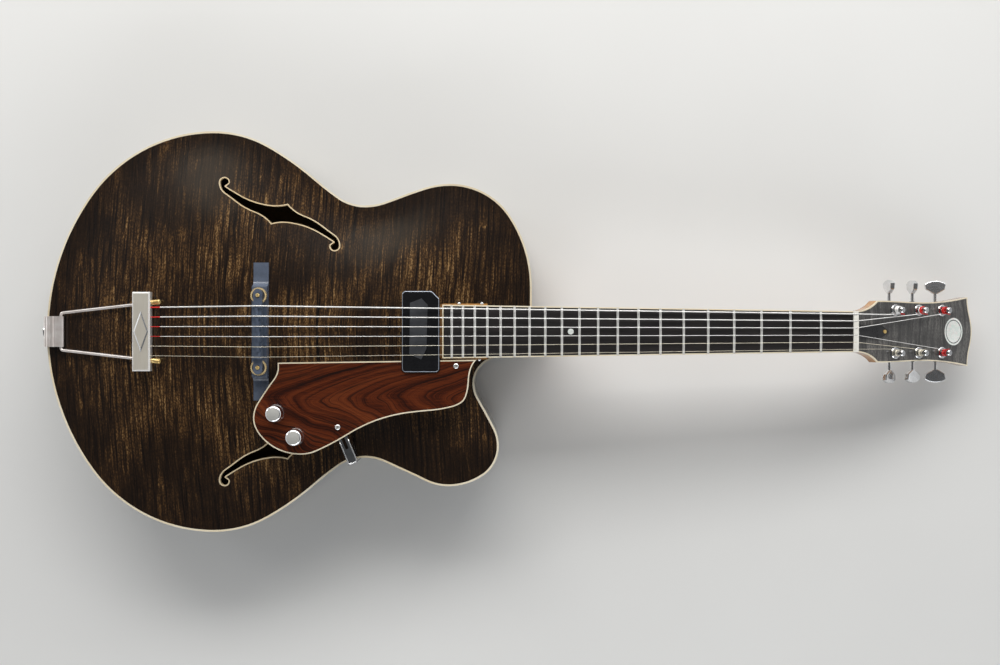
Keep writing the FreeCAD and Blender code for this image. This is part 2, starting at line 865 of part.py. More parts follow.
# A fret bead turned about the axis of the board's crown
def fret_shape(number):
    run = nut_run - fret_run(number)
    half = dim.fret_width / 2
    ends = (Vector(run - half, 0, 0), Vector(run + half, 0, 0))
    bead = Part.Arc(ends[0], Vector(run, 0, dim.fret_height), ends[1]).toShape()
    face = Part.Face(Part.Wire([bead, Part.LineSegment(ends[1], ends[0]).toShape()]))
    reach = math.degrees(math.asin((board_width(run) / 2 - dim.fret_end_inset) / dim.board_radius))
    axis_point = Vector(0, 0, -dim.board_radius)
    face.rotate(axis_point, Vector(1, 0, 0), -reach)
    return face.revolve(axis_point, Vector(1, 0, 0), 2 * reach)


# The binding runs down one side, across the board's end and back up the other side
def binding_path():
    inset = dim.fine_binding
    end = board_tail + inset
    near = board_width(nut_run) / 2
    far = board_width(board_tail) / 2
    inner_far = board_width(end) / 2 - inset
    return [(nut_run, near), (board_tail, far), (board_tail, -far), (nut_run, -near),
            (nut_run, -near + inset), (end, -inner_far), (end, inner_far), (nut_run, near - inset),
            (nut_run, near)]


# Strings: heights over the board at the nut and the bridge, and places across
def string_y(index, spread):
    return spread * (0.5 - index / 5)


def crown_drop(y):
    return dim.board_radius - math.sqrt(dim.board_radius ** 2 - y * y)


def string_at_nut(index):
    y = string_y(index, dim.nut_spread)
    z = dim.fret_height + dim.nut_clearance + gauges[index] / 2 - crown_drop(y)
    return neck_frame.multVec(Vector(nut_run + dim.nut_thickness / 2, y, z))


def string_at_saddle(index):
    y = string_y(index, dim.saddle_spread)
    run = nut_run - dim.scale_length - compensation[index]
    z = dim.fret_height + dim.action + gauges[index] / 2 - crown_drop(y)
    return neck_frame.multVec(Vector(run, y, z))


# The crossbar floats over the highest part of the soundboard under it
crossbar_x = tail_x + dim.crossbar_from_tail
crossbar_spots = [Vector(crossbar_x + along * dim.crossbar_width / 2, across * dim.crossbar_length / 2, 0)
                  for along in (-1, 0, 1) for across in (-1, -0.5, 0, 0.5, 1)]
crossbar_low_z = highest_top(crossbar_spots) + dim.crossbar_clearance
crossbar_z = crossbar_low_z + dim.crossbar_seat


def string_at_tail(index):
    return Vector(crossbar_x, string_y(index, dim.tail_spread), crossbar_z)


# Round grooves for the strings where they bend over the saddle or the nut
def string_grooves(seat_number):
    grooves = []
    for index, gauge in enumerate(gauges):
        corners = string_corners(index)
        seat = corners[seat_number]
        for neighbour in (corners[seat_number - 1], corners[seat_number + 1]):
            way = (neighbour - seat).normalize()
            grooves.append(rod(gauge / 2 + dim.string_clear, seat, seat + way * dim.groove_reach))
    return grooves


# Nut with a slot under each string
def build_nut():
    half = dim.nut_width / 2
    body = block(Vector(nut_run, -half, -dim.board_thickness),
                 Vector(nut_run + dim.nut_thickness, half, 2 * dim.nut_height))
    crown = Part.makeCylinder(dim.board_radius + dim.nut_height, 3 * dim.nut_thickness,
                              Vector(nut_run - dim.nut_thickness, 0, -dim.board_radius), Vector(1, 0, 0))
    body = moved(body.common(crown), neck_frame)
    for groove in string_grooves(2):
        body = body.cut(groove)
    feature("nut", body.Solids[0])


# Neck: a half-oval shaft that deepens into the heel and runs into the pitched headstock. Heel sections
# are (share of the heel's length, share of its added depth).
heel_shares = ((-0.1, 1.2), (0.16, 1.1), (0.34, 0.84), (0.47, 0.5), (0.6, 0.24), (0.76, 0.08), (0.9, 0.02))
shaft_shares = (0.0, 0.5, 0.93)
quarter_pull = 0.5523


def half_oval(width, depth, frame):
    half = width / 2
    pull = quarter_pull
    right = Part.BezierCurve()
    right.setPoles([Vector(0, half, 0), Vector(0, half, -pull * depth), Vector(0, pull * half, -depth),
                    Vector(0, 0, -depth)])
    left = Part.BezierCurve()
    left.setPoles([Vector(0, 0, -depth), Vector(0, -pull * half, -depth), Vector(0, -half, -pull * depth),
                   Vector(0, -half, 0)])
    top = Part.LineSegment(Vector(0, -half, 0), Vector(0, half, 0))
    wire = Part.Wire([right.toShape(), left.toShape(), top.toShape()])
    wire.Placement = frame
    return wire


def head_wire(inset):
    corner = (dim.head_shoulder_along, dim.head_shoulder_half)
    tip_along = dim.head_length - dim.head_tip_drop
    waist_along = (corner[0] + tip_along) / 2
    neck_half = dim.nut_width / 2
    start = dim.head_veneer * math.tan(pitch) + dim.glue_gap
    upper = smooth_run([(start, neck_half, 4), (corner[0], corner[1], 46)])
    upper += smooth_run([(corner[0], corner[1], 1), (waist_along, dim.head_waist_half, 0),
                         (tip_along, dim.head_tip_half, 11)])
    upper += smooth_run([(tip_along, dim.head_tip_half, -90),
                         (tip_along + 0.45 * dim.head_tip_drop, 0.5 * dim.head_tip_half, -74),
                         (dim.head_length, 0, -90)])
    lower = []
    for edge in upper:
        lower.append(edge.mirror(Vector(), Vector(0, 1, 0)))
    back = straight_run([(start, -neck_half), (start, neck_half)])
    wire = wire_of(upper + lower + back)
    return offset_wire(wire, -inset) if inset else wire


def tuner_places():
    # strings six to four on the bass side, then one to three on the treble side, counted from the nut
    places = []
    for side in (1, -1):
        for row in range(3):
            places.append((dim.tuner_first + row * dim.tuner_spacing, side))
    return places


# Bore for a tuner bushing, through veneer and headstock
def bushing_bore(along, side):
    y = side * dim.tuner_offset
    return rod(dim.bushing_sleeve + dim.glue_gap, Vector(along, y, housing_top - overcut),
               Vector(along, y, overcut))


def truss_slot():
    half = dim.truss_slot_width / 2
    low = -dim.board_thickness - dim.truss_slot_depth
    return block(Vector(dim.heel_length / 2, -half, low),
                 Vector(nut_run + dim.nut_thickness, half, -dim.board_thickness), neck_frame)


def truss_pocket():
    half = dim.truss_slot_width / 2 + dim.truss_pocket_margin
    return block(Vector(-dim.truss_end_gap, -half, -dim.truss_slot_depth - dim.head_veneer),
                 Vector(dim.truss_pocket_length, half, overcut), head_frame)


def neck_sections():
    heel = dim.heel_length
    base = dim.neck_depth_heel
    wires = []
    for share, part in heel_shares:
        run = share * heel
        frame = neck_frame * level(run, 0, -dim.board_thickness)
        wires.append(half_oval(board_width(run), between(base, board_top_z, part), frame))
    for share in shaft_shares:
        run = between(heel, nut_run, share)
        depth = between(base, dim.neck_depth_nut, share)
        frame = neck_frame * level(run, 0, -dim.board_thickness)
        wires.append(half_oval(board_width(run), depth, frame))
    end = neck_frame * Placement(Vector(nut_run + dim.nut_thickness, 0, -dim.board_thickness),
                                 Rotation(tilt_axis, dim.head_pitch / 2))
    wires.append(half_oval(dim.nut_width, dim.neck_depth_nut, end))
    last = head_frame * level(dim.volute_length, 0, -dim.head_veneer)
    wires.append(half_oval(dim.nut_width + dim.volute_flare, dim.head_thickness, last))
    return wires


def build_neck():
    heel_low = back_edge_z + dim.heel_cap_thickness + dim.glue_gap
    shaft = Part.makeLoft(neck_sections(), True, False)
    shaft = shaft.common(block(Vector(joint_x, -beyond, heel_low), Vector(beyond, beyond, beyond)))
    core = prism(head_wire(0), housing_top, -dim.head_veneer, head_frame)
    neck = shaft.fuse([core, tenon(0, dim.tenon_root)]).removeSplitter()
    wide = dim.head_tip_half + dim.board_end_width
    board_trim = block(Vector(-wide, -wide, -dim.board_thickness),
                       Vector(nut_run + dim.nut_thickness, wide, wide), neck_frame)
    face_trim = block(Vector(0, -wide, -dim.head_veneer), Vector(dim.head_length, wide, wide), head_frame)
    tools = [board_trim, face_trim.cut(board_trim), truss_slot(), truss_pocket()]
    for along, side in tuner_places():
        tools.append(moved(bushing_bore(along, side), head_frame))
        tools.append(moved(tuner_screw_bore(along, side, dim.tuner_screw_radius), head_frame))
    for tool in tools:
        neck = neck.cut(tool)
    feature("neck", largest(neck))

    foot = max(shaft.Faces, key=lambda face: face.Area if abs(face.CenterOfMass.z - heel_low) < 0.01 else 0)
    cap = Part.Face(foot.OuterWire).extrude(Vector(0, 0, -dim.heel_cap_thickness))
    cap.translate(Vector(0, 0, -dim.glue_gap))
    feature("heel_cap", cap)

    rod_z = -dim.board_thickness - dim.truss_slot_depth / 2
    start = Vector(dim.heel_length / 2 + dim.truss_end_gap, 0, rod_z)
    stop = Vector(nut_run + dim.nut_thickness - dim.truss_end_gap, 0, rod_z)
    feature("truss_rod", moved(rod(dim.truss_radius, start, stop), neck_frame))


# Wedge under the board's extension, cut clear of the soundboard
def build_riser():
    half = board_width(board_tail) / 2 - dim.fine_binding - dim.riser_inset
    wedge = block(Vector(board_tail + dim.fine_binding, -half, -2 * dim.board_rise),
                  Vector(-dim.glue_gap, half, -dim.board_thickness), neck_frame)
    neck_side = block(Vector(joint_x - dim.glue_gap, -beyond, 0), Vector(beyond, beyond, beyond))
    under = arch_slab(top_face, -beyond, dim.riser_clearance)
    for tool in (under, mount_plate_blank(dim.glue_gap), neck_side):
        wedge = wedge.cut(tool)
    feature("fretboard_riser", largest(wedge))


plate_front = board_tail - dim.plate_margin


def mount_plate_blank(clearance):
    half = board_width(board_tail) / 2 + dim.plate_margin / 2 + clearance
    low = -dim.board_thickness - dim.plate_depth - clearance
    back = plate_front + dim.plate_length + clearance
    return block(Vector(plate_front, -half, low), Vector(back, half, -dim.board_thickness), neck_frame)


def build_mount_plate():
    plate = mount_plate_blank(0)
    upright = neck_frame.Rotation.multVec(Vector(0, 0, 1))
    corners = [edge for edge in plate.Edges if abs(edge.tangentAt(0).dot(upright)) > 0.99]
    front = sorted(corners, key=lambda edge: edge.CenterOfMass.x)[:2]
    feature("pickup_plate", plate.makeFillet(dim.pickup_corner, front))


# Headstock face: veneer, binding, oval inlay, truss rod cover and its screw
def inlay_wire():
    along = dim.head_length - dim.inlay_from_tip
    oval = Part.Ellipse(Vector(along, dim.inlay_length / 2, 0), Vector(along + dim.inlay_width / 2, 0, 0),
                        Vector(along, 0, 0))
    return Part.Wire([oval.toShape()])


def cover_wire():
    half = dim.truss_cover_width / 2
    start = dim.truss_cover_gap
    shoulder = dim.truss_cover_shoulder
    side = smooth_run([(shoulder, half, -20), (dim.truss_cover_length, 0, -38)])
    other = [edge.mirror(Vector(), Vector(0, 1, 0)) for edge in side]
    flat = straight_run([(shoulder, -half), (start, -half), (start, half), (shoulder, half)])
    return wire_of(side + other + flat)


def build_head_face():
    low = -dim.head_veneer
    inner = head_wire(dim.fine_binding)
    pocket = moved(truss_pocket(), head_frame.inverse())
    tools = [bushing_bore(along, side) for along, side in tuner_places()]
    tools += [prism(inlay_wire(), low / 2, overcut), pocket]
    veneer = prism(inner, low, 0)
    for tool in tools:
        veneer = veneer.cut(tool)
    ring = prism([head_wire(0), inner], low, 0).cut(pocket)
    feature("headstock_veneer", moved(largest(veneer), head_frame))
    feature("headstock_binding", moved(largest(ring), head_frame))

    thick = dim.truss_cover_thickness
    place = Vector(dim.truss_cover_length - dim.cover_screw_from_tip, 0, 0)
    cover = padded("cover_blank", [cover_wire()], "dims.truss_cover_thickness", head_frame)
    bore = rod(dim.cover_screw_radius + dim.glue_gap, place, place + Vector(0, 0, thick + overcut))
    hole = helper("cover_bore", moved(bore, head_frame))
    finish(boolean("Part::Cut", "truss_rod_cover", cover, hole), "truss_rod_cover")
    head = rod(dim.cover_screw_head, place + Vector(0, 0, thick),
               place + Vector(0, 0, thick + dim.cover_screw_crown))
    shank = rod(dim.cover_screw_radius, place, place + Vector(0, 0, thick))
    feature("truss_cover_screw", moved(head.fuse(shank).removeSplitter(), head_frame))


# Tuners: housing, bushing, post with its worm wheel, and key with its worm
housing_top = -dim.head_veneer - dim.head_thickness
worm_offset = dim.gear_radius + dim.worm_radius + dim.running_gap
gear_middle = housing_top - dim.housing_depth / 2
housing_half = dim.gear_radius + dim.housing_wall + dim.housing_margin


def ear_place(along, side):
    return Vector(along - dim.gear_radius - dim.ear_offset, side * dim.tuner_offset, 0)


def tuner_screw_bore(along, side, radius):
    place = ear_place(along, side)
    return rod(radius, place + Vector(0, 0, housing_top - dim.housing_depth),
               place + Vector(0, 0, housing_top + dim.tuner_screw_reach))


def housing_shape(along, side):
    y = side * dim.tuner_offset
    gap = dim.running_gap
    floor = housing_top - dim.housing_depth
    worm_x = along + worm_offset
    worm_end = worm_x + dim.worm_radius + dim.housing_wall + dim.housing_margin
    case = block(Vector(along - housing_half, y - housing_half, floor),
                 Vector(worm_end, y + housing_half, housing_top))
    upright = [edge for edge in case.Edges if abs(edge.tangentAt(0).z) > 0.9]
    case = case.makeFillet(dim.housing_corner, upright)
    rim = [edge for edge in case.Edges if abs(edge.CenterOfMass.z - floor) < 1e-6]
    case = case.makeFillet(dim.housing_edge, rim)
    ear = ear_place(along, side)
    case = case.fuse(rod(dim.ear_radius, ear + Vector(0, 0, housing_top - dim.ear_thickness),
                         ear + Vector(0, 0, housing_top)))
    half = dim.gear_thickness / 2 + gap
    cavities = [
        rod(dim.gear_radius + gap, Vector(along, y, gear_middle - half),
            Vector(along, y, gear_middle + half)),
        rod(dim.post_radius + gap, Vector(along, y, floor + dim.housing_wall),
            Vector(along, y, housing_top + overcut)),
        rod(dim.worm_radius + gap, Vector(worm_x, y - dim.gear_radius, gear_middle),
            Vector(worm_x, y + dim.gear_radius, gear_middle)),
        rod(dim.key_shaft_radius + gap, Vector(worm_x, y, gear_middle),
            Vector(worm_x, side * dim.key_reach, gear_middle)),
        tuner_screw_bore(along, side, dim.tuner_screw_radius + gap)]
    for cavity in cavities:
        case = case.cut(cavity)
    return case.Solids[0]


def post_profile():
    radius = dim.post_radius
    pivot = radius - dim.post_step
    lip = radius + dim.post_lip
    top = dim.post_height
    gear_low = gear_middle - dim.gear_thickness / 2
    gear_high = gear_middle + dim.gear_thickness / 2
    foot = gear_low - dim.post_foot
    low = dim.bushing_height + dim.post_collar
    high = top - dim.post_cap
    lines = straight_run([(0, top), (0, foot), (pivot, foot), (pivot, gear_low),
                          (dim.gear_radius, gear_low), (dim.gear_radius, gear_high), (radius, gear_high),
                          (radius, low)])
    waist = Part.Arc(Vector(radius, low, 0), Vector(radius - dim.post_waist, (low + high) / 2, 0),
                     Vector(radius, high, 0))
    cap = straight_run([(radius, high), (lip, high + 2 * dim.post_lip), (lip, top - dim.post_edge),
                        (lip - dim.post_edge, top), (0, top)])
    return lines + [waist.toShape()] + cap


# A turned post with a cross hole for its string
def tuner_post(name, frame):
    body = turned(name, post_profile(), frame)
    hole_z = dim.post_height - dim.post_cap - dim.post_hole_drop
    outline_of_hole = [circle_wire(dim.post_hole_radius, 0, hole_z)]
    hole = sketch_in(body, name + "_string_hole", outline_of_hole, "XZ_Plane")
    drilled(body, name + "_drill", hole)
    return body


# A pocket through a body, both ways from its sketch
def drilled(body, name, sketch):
    pocket = body.newObject("PartDesign::Pocket", name)
    pocket.Profile = sketch
    pocket.Type = "ThroughAll"
    pocket.Midplane = True
    sketch.Visibility = False
    return pocket


# Button outline in its own plane: sloping shoulders, flared sides and a bowed outer end
def button_wire():
    half = dim.button_width / 2
    length = dim.button_length
    neck = dim.key_shaft_radius + dim.button_neck
    shoulder = (0.32 * length, 0.88 * half)
    flare = (0.74 * length, half)
    sides = straight_run([(flare[0], -flare[1]), (shoulder[0], -shoulder[1]), (0, -neck), (0, neck),
                          shoulder, flare])
    bow = Part.Arc(Vector(flare[0], half, 0), Vector(length, 0, 0), Vector(flare[0], -half, 0))
    return wire_of(sides + [bow.toShape()])


# Rest angle of each button about its shaft, in the order of the tuner places
button_angles = (72, 70, -28, -25, -15, 28)


def key_shape(index, along, side):
    y = side * dim.tuner_offset
    x = along + worm_offset
    worm_half = dim.gear_radius - dim.worm_end_gap
    button_at = dim.key_reach - dim.button_length
    collar_at = dim.tuner_offset + housing_half + dim.collar_gap

    def bar(radius, start, end):
        return rod(radius, Vector(x, start, gear_middle), Vector(x, end, gear_middle))

    shaft = bar(dim.key_shaft_radius, y, side * (button_at + dim.shaft_sink))
    worm = bar(dim.worm_radius, y - worm_half, y + worm_half)
    collar = bar(dim.key_shaft_radius + dim.collar_step, side * collar_at,
                 side * (collar_at + dim.collar_length))
    half = dim.button_thickness / 2
    plate = prism(button_wire(), -half, half)
    rims = [edge for edge in plate.Edges if abs(abs(edge.CenterOfMass.z) - half) < 1e-6
            and edge.CenterOfMass.x > dim.button_edge / 2]
    plate = plate.makeFillet(dim.button_edge, rims)
    turn = Rotation(Vector(0, 0, 1), 90 * side) * Rotation(Vector(1, 0, 0), button_angles[index])
    plate.Placement = Placement(Vector(x, side * button_at, gear_middle), turn)
    return shaft.fuse([worm, collar, plate]).removeSplitter()


def bushing_shape(along, side):
    y = side * dim.tuner_offset
    low = housing_top + 2 * dim.glue_gap
    flange = rod(dim.bushing_radius, Vector(along, y, 0), Vector(along, y, dim.bushing_height))
    flange = flange.makeChamfer(dim.bushing_edge, [flange.Edges[0]])
    sleeve = rod(dim.bushing_sleeve, Vector(along, y, low), Vector(along, y, 0))
    bore = rod(dim.post_radius + dim.running_gap, Vector(along, y, low - overcut),
               Vector(along, y, dim.bushing_height + overcut))
    return flange.fuse(sleeve).cut(bore).removeSplitter()


def tuner_screw(along, side):
    place = ear_place(along, side)
    seat = place + Vector(0, 0, housing_top - dim.ear_thickness)
    head = rod(dim.tuner_screw_head, seat - Vector(0, 0, dim.tuner_screw_crown), seat)
    tip = place + Vector(0, 0, housing_top + dim.tuner_screw_reach - dim.running_gap)
    return head.fuse(rod(dim.tuner_screw_radius - dim.running_gap, seat, tip)).removeSplitter()


def build_tuners():
    places = tuner_places()
    feature("tuner_housings", [moved(housing_shape(*place), head_frame) for place in places])
    feature("tuner_bushings", [moved(bushing_shape(*place), head_frame) for place in places])
    feature("tuner_screws", [moved(tuner_screw(*place), head_frame) for place in places])
    for index, (along, side) in enumerate(places):
        post_name = f"tuner_post_{index + 1}"
        key_name = f"tuner_key_{index + 1}"
        finish(tuner_post(post_name, head_frame * level(along, side * dim.tuner_offset)), post_name)
        feature(key_name, moved(key_shape(index, along, side), head_frame))


# Bridge: fitted base, two threaded studs, thumbwheels and a compensated saddle
base_top_z = top_edge_z + dim.top_arch + dim.bridge_height
wheel_z = base_top_z + dim.wheel_lift
saddle_low_z = wheel_z + dim.wheel_thickness + dim.running_gap
stud_low_z = base_top_z - dim.stud_depth
foot_z = top_z(seat_x, dim.bridge_length / 2) + dim.bridge_foot
scoop_z = foot_z + dim.bridge_scoop_rise


def stud_places():
    return [Vector(seat_x, side * dim.stud_spacing / 2, 0) for side in (1, -1)]


def build_bridge():
    half = dim.bridge_length / 2
    flat = dim.stud_spacing / 2 + dim.wheel_radius + dim.bridge_flat_margin
    scoop = smooth_run([(flat, base_top_z, -76), (flat + dim.bridge_scoop, scoop_z, -8),
                        (half, foot_z, -2)])
    other = [edge.mirror(Vector(), Vector(1, 0, 0)) for edge in scoop]
    rest = straight_run([(half, foot_z), (half, rim_top_z), (-half, rim_top_z), (-half, foot_z)])
    rest += straight_run([(-flat, base_top_z), (flat, base_top_z)])
    face = Part.Face(wire_of(scoop + other + rest))
    upright = Placement(Vector(seat_x - dim.bridge_width / 2, 0, 0), Rotation(Vector(1, 1, 1), 120))
    base = moved(face.extrude(Vector(0, 0, dim.bridge_width)), upright)
    base = base.cut(arch_slab(top_face, -dim.rim_height, dim.glue_gap))
    studs = []
    for place in stud_places():
        low = place + Vector(0, 0, stud_low_z)
        base = base.cut(rod(dim.stud_radius + dim.press_gap, low, place + Vector(0, 0, beyond)))
        stud = rod(dim.stud_radius, low, low + Vector(0, 0, dim.stud_length))
        studs.append(stud.makeChamfer(dim.stud_edge, [stud.Edges[0]]))
    feature("bridge_base", base.Solids[0])
    feature("bridge_studs", studs)
    for name, place in zip(("thumbwheel_bass", "thumbwheel_treble"), stud_places()):
        finish(thumbwheel(name, place), name)
    feature("bridge_saddle", saddle_shape())


def circle_wire(radius, x=0.0, y=0.0):
    return Part.Wire([Part.makeCircle(radius, Vector(x, y, 0))])


# A knurled wheel: a padded ring with one edge groove patterned round it
def thumbwheel(name, place):
    rings = [circle_wire(dim.wheel_radius), circle_wire(dim.stud_radius + dim.running_gap / 2)]
    body = padded(name, rings, "dims.wheel_thickness", level(place.x, place.y, wheel_z))
    groove = sketch_in(body, name + "_groove", [circle_wire(dim.wheel_notch_radius, dim.wheel_radius, 0)])
    pocket = drilled(body, name + "_pocket", groove)
    pattern = body.newObject("PartDesign::PolarPattern", name + "_knurl")
    pattern.Originals = [pocket]
    pattern.Axis = (groove, ["N_Axis"])
    pattern.setExpression("Occurrences", "dims.wheel_notches")
    body.Tip = pattern
    return body


def saddle_shape():
    half = dim.saddle_length / 2
    width = dim.saddle_width / 2
    straight = half - width
    plan = smooth_run([(straight, width, 0), (half, 0, -90), (straight, -width, 180)])
    plan += [edge.mirror(Vector(), Vector(1, 0, 0)) for edge in plan]
    for y in (width, -width):
        plan += straight_run([(-straight, y), (straight, y)])
    seats = [(string_at_saddle(index), gauge / 2) for index, gauge in enumerate(gauges)]
    shelf_z = min(seat.z - radius for seat, radius in seats) - dim.saddle_ridge
    across = Placement(Vector(seat_x, 0, 0), Rotation(Vector(0, 0, 1), 90))
    body = prism(wire_of(plan), saddle_low_z, shelf_z, across)
    crown = Vector(dim.saddle_crown / 2, dim.saddle_spread / 10, 0)
    for seat, radius in seats:
        low = Vector(seat.x, seat.y, saddle_low_z + overcut)
        high = Vector(seat.x, seat.y, seat.z - radius - dim.string_rest)
        body = body.fuse(block(low - crown, high + crown))
    step = Vector(dim.saddle_width, dim.saddle_step, 0)
    for place in stud_places():
        low = place + Vector(0, 0, saddle_low_z + dim.saddle_ledge)
        body = body.cut(block(low - step, place + Vector(0, 0, beyond) + step))
        body = body.cut(rod(dim.stud_radius + dim.saddle_bore_gap, place, place + Vector(0, 0, beyond)))
    for groove in string_grooves(1):
        body = body.cut(groove)
    return largest(body.removeSplitter())


# Path of straight runs joined by tangent arcs through corner points
def filleted_path(points, radii):
    edges = []
    start = points[0]
    for before, corner, after, radius in zip(points, points[1:], points[2:], radii):
        way_in = (corner - before).normalize()
        way_out = (after - corner).normalize()
        turn = way_in.getAngle(way_out)
        setback = radius * math.tan(turn / 2)
        leave = corner - way_in * setback
        join = corner + way_out * setback
        edges.append(Part.LineSegment(start, leave).toShape())
        edges.append(arc_edge(leave, way_in, join))
        start = join
    edges.append(Part.LineSegment(start, points[-1]).toShape())
    return edges


def tube(edges, radius):
    path = Part.Wire(edges)
    start = edges[0].valueAt(edges[0].FirstParameter)
    way = edges[0].tangentAt(edges[0].FirstParameter)
    profile = Part.Wire([Part.makeCircle(radius, start, way)])
    return path.makePipeShell([profile], True, False)


# Trapeze tailpiece: hinge leaf round the tail edge, bent rod, crossbar and its two nuts
hinge_x = tail_x + dim.hinge_from_tail
hinge_z = top_edge_z + dim.hinge_rise


def rod_path():
    (bass_foot, bass_tip), (treble_foot, treble_tip) = leg_ways()
    return filleted_path([bass_tip, bass_foot, treble_foot, treble_tip], [dim.rod_bend, dim.rod_bend])


def leg_ways():
    front = crossbar_x + dim.crossbar_width / 2 + dim.rod_tip
    return [(Vector(hinge_x, side * dim.rod_base_half, hinge_z),
             Vector(front, side * dim.rod_end_half, crossbar_z - dim.rod_drop)) for side in (1, -1)]


def hinge_leaf():
    sheet_half = dim.sheet_thickness / 2
    curl = dim.rod_radius + dim.running_gap + sheet_half
    leg_x = tail_x - dim.sheet_gap - sheet_half
    top = hinge_z + curl
    bend = dim.hinge_bend
    center = Vector(hinge_x, hinge_z, 0)
    over = Vector(hinge_x, top, 0)
    turn_in = Vector(leg_x, top - bend, 0)
    turn_out = Vector(leg_x + bend, top, 0)
    edges = [Part.LineSegment(Vector(leg_x, top - dim.hinge_leg, 0), turn_in).toShape(),
             arc_edge(turn_in, Vector(0, 1, 0), turn_out),
             Part.LineSegment(turn_out, over).toShape(),
             Part.Arc(over, center + heading(-55) * curl, center + heading(-200) * curl).toShape()]
    path = Part.Wire(edges)
    upright = Placement(Vector(0, dim.hinge_width / 2, 0), Rotation(Vector(1, 0, 0), 90))
    sheets = [moved(path.makeOffset2D(side * sheet_half, 0, True, True).extrude(
        Vector(0, 0, dim.hinge_width)), upright) for side in (1, -1)]
    leaf = sheets[0].fuse(sheets[1]).removeSplitter()
    for bore in [pin_bore()] + hinge_screw_bores(dim.hinge_screw_radius):
        leaf = leaf.cut(bore)
    return leaf.Solids[0]


def crossbar_shape():
    half = Vector(dim.crossbar_width / 2, dim.crossbar_length / 2, 0)
    middle = Vector(crossbar_x, 0, 0)
    ceiling = crossbar_z + dim.ball_radius + dim.ball_gap
    high = ceiling + dim.crossbar_roof
    bar = block(middle - half + Vector(0, 0, crossbar_low_z), middle + half + Vector(0, 0, high))
    upper = [edge for edge in bar.Edges if abs(edge.CenterOfMass.z - high) < 1e-6]
    bar = bar.makeChamfer(dim.crossbar_edge, upper)
    inside = half - Vector(dim.crossbar_wall, dim.crossbar_wall, 0)
    bar = bar.cut(block(middle - inside + Vector(0, 0, crossbar_low_z - overcut),
                        middle + inside + Vector(0, 0, ceiling)))
    across = dim.diamond_width / 2
    along = dim.diamond_length / 2
    diamond = wire_of(straight_run([(across, 0), (0, along), (-across, 0), (0, -along), (across, 0)]))
    raised = prism(diamond, high - dim.diamond_height, high + dim.diamond_height, level(crossbar_x, 0))
    bar = bar.fuse(raised).removeSplitter()
    for foot, tip in leg_ways():
        way = (tip - foot).normalize()
        bar = bar.cut(rod(dim.rod_radius + dim.press_gap, foot, tip + way * dim.rod_tip))
    for index, gauge in enumerate(gauges):
        seat = string_at_tail(index)
        way = (string_at_saddle(index) - seat).normalize()
        bar = bar.cut(rod(gauge / 2 + dim.string_hole_gap, seat, seat + way * dim.crossbar_width))
    return bar.Solids[0]


def rod_nuts():
    nuts = []
    for foot, tip in leg_ways():
        way = (tip - foot).normalize()
        start = tip - way * dim.rod_nut_grip
        nut = rod(dim.rod_nut_radius, start, start + way * dim.rod_nut_length)
        nut = nut.makeChamfer(dim.rod_nut_edge, [nut.Edges[0]])
        nuts.append(nut.cut(rod(dim.rod_radius + dim.press_gap, foot, tip + way * dim.press_gap)))
    return nuts


def pin_profile():
    flange = dim.sheet_gap + dim.sheet_thickness + dim.glue_gap
    length = dim.pin_length
    edge = dim.pin_edge
    neck = flange + dim.pin_flange_thickness + edge
    lines = straight_run([(dim.jack_radius, -length), (dim.pin_radius - edge, -length),
                          (dim.pin_radius, -length + edge), (dim.pin_radius, -length + dim.pin_lip)])
    waist = Part.Arc(Vector(dim.pin_radius, -length + dim.pin_lip, 0),
                     Vector(dim.pin_radius - dim.pin_waist, -length / 2, 0),
                     Vector(dim.pin_radius, -neck, 0))
    rest = straight_run([(dim.pin_radius, -neck), (dim.pin_flange, -neck + edge),
                         (dim.pin_flange, -flange), (dim.pin_shank, -flange),
                         (dim.pin_shank, dim.pin_shank_length), (0, dim.pin_shank_length),
                         (0, dim.jack_depth - length), (dim.jack_radius, dim.jack_depth - length),
                         (dim.jack_radius, -length)])
    return lines + [waist.toShape()] + rest


def hinge_screw(side):
    outside = tail_x - dim.sheet_gap - dim.sheet_thickness
    crown_x = outside - dim.hinge_screw_crown
    seat = Vector(outside, side * dim.hinge_screw_spacing / 2, rim_top_z - dim.hinge_screw_drop)
    head = rod(dim.hinge_screw_head, seat - Vector(dim.hinge_screw_crown, 0, 0), seat)
    rim = [edge for edge in head.Edges if abs(edge.CenterOfMass.x - crown_x) < 1e-6]
    head = head.makeFillet(dim.hinge_screw_edge, rim)
    tip = Vector(tail_x + dim.hinge_screw_length - dim.running_gap, seat.y, seat.z)
    return head.fuse(rod(dim.hinge_screw_radius - dim.running_gap, seat, tip)).removeSplitter()


def build_tailpiece():
    feature("tailpiece_hinge", hinge_leaf())
    feature("tailpiece_rod", tube(rod_path(), dim.rod_radius))
    feature("tailpiece_crossbar", crossbar_shape())
    feature("tailpiece_nuts", rod_nuts())
    feature("tailpiece_screws", [hinge_screw(side) for side in (1, -1)])
    along = Placement(Vector(tail_x, 0, pin_z), Rotation(Vector(0, 1, 0), 90))
    finish(turned("end_pin_jack", pin_profile(), along), "end_pin_jack")


# Pickguard: outline stations (along, across, heading) from the body joint, shares of the run between,
# then from the bridge line
guard_front = ((-59.4, -30, 225), (-67.6, -53, 268), (-70.7, -69.3, 250), (-85, -80, 195))
guard_middle = ((0.283, -86.3, 187), (0.577, -99.8, 205), (0.787, -118.6, 208))
guard_rear = ((39.6, -130.6, 180), (-2.1, -112, 131), (-10.7, -92, 90), (3.9, -60.5, 56), (15.4, -40, 82))
guard_screw_places = (Vector(joint_x - 81.2, -36.5, 0), Vector(bridge_x + 79.1, -101.5, 0))
knob_places = (Vector(bridge_x + 13.3, -86.5, 0), Vector(bridge_x + 34.4, -111.5, 0))

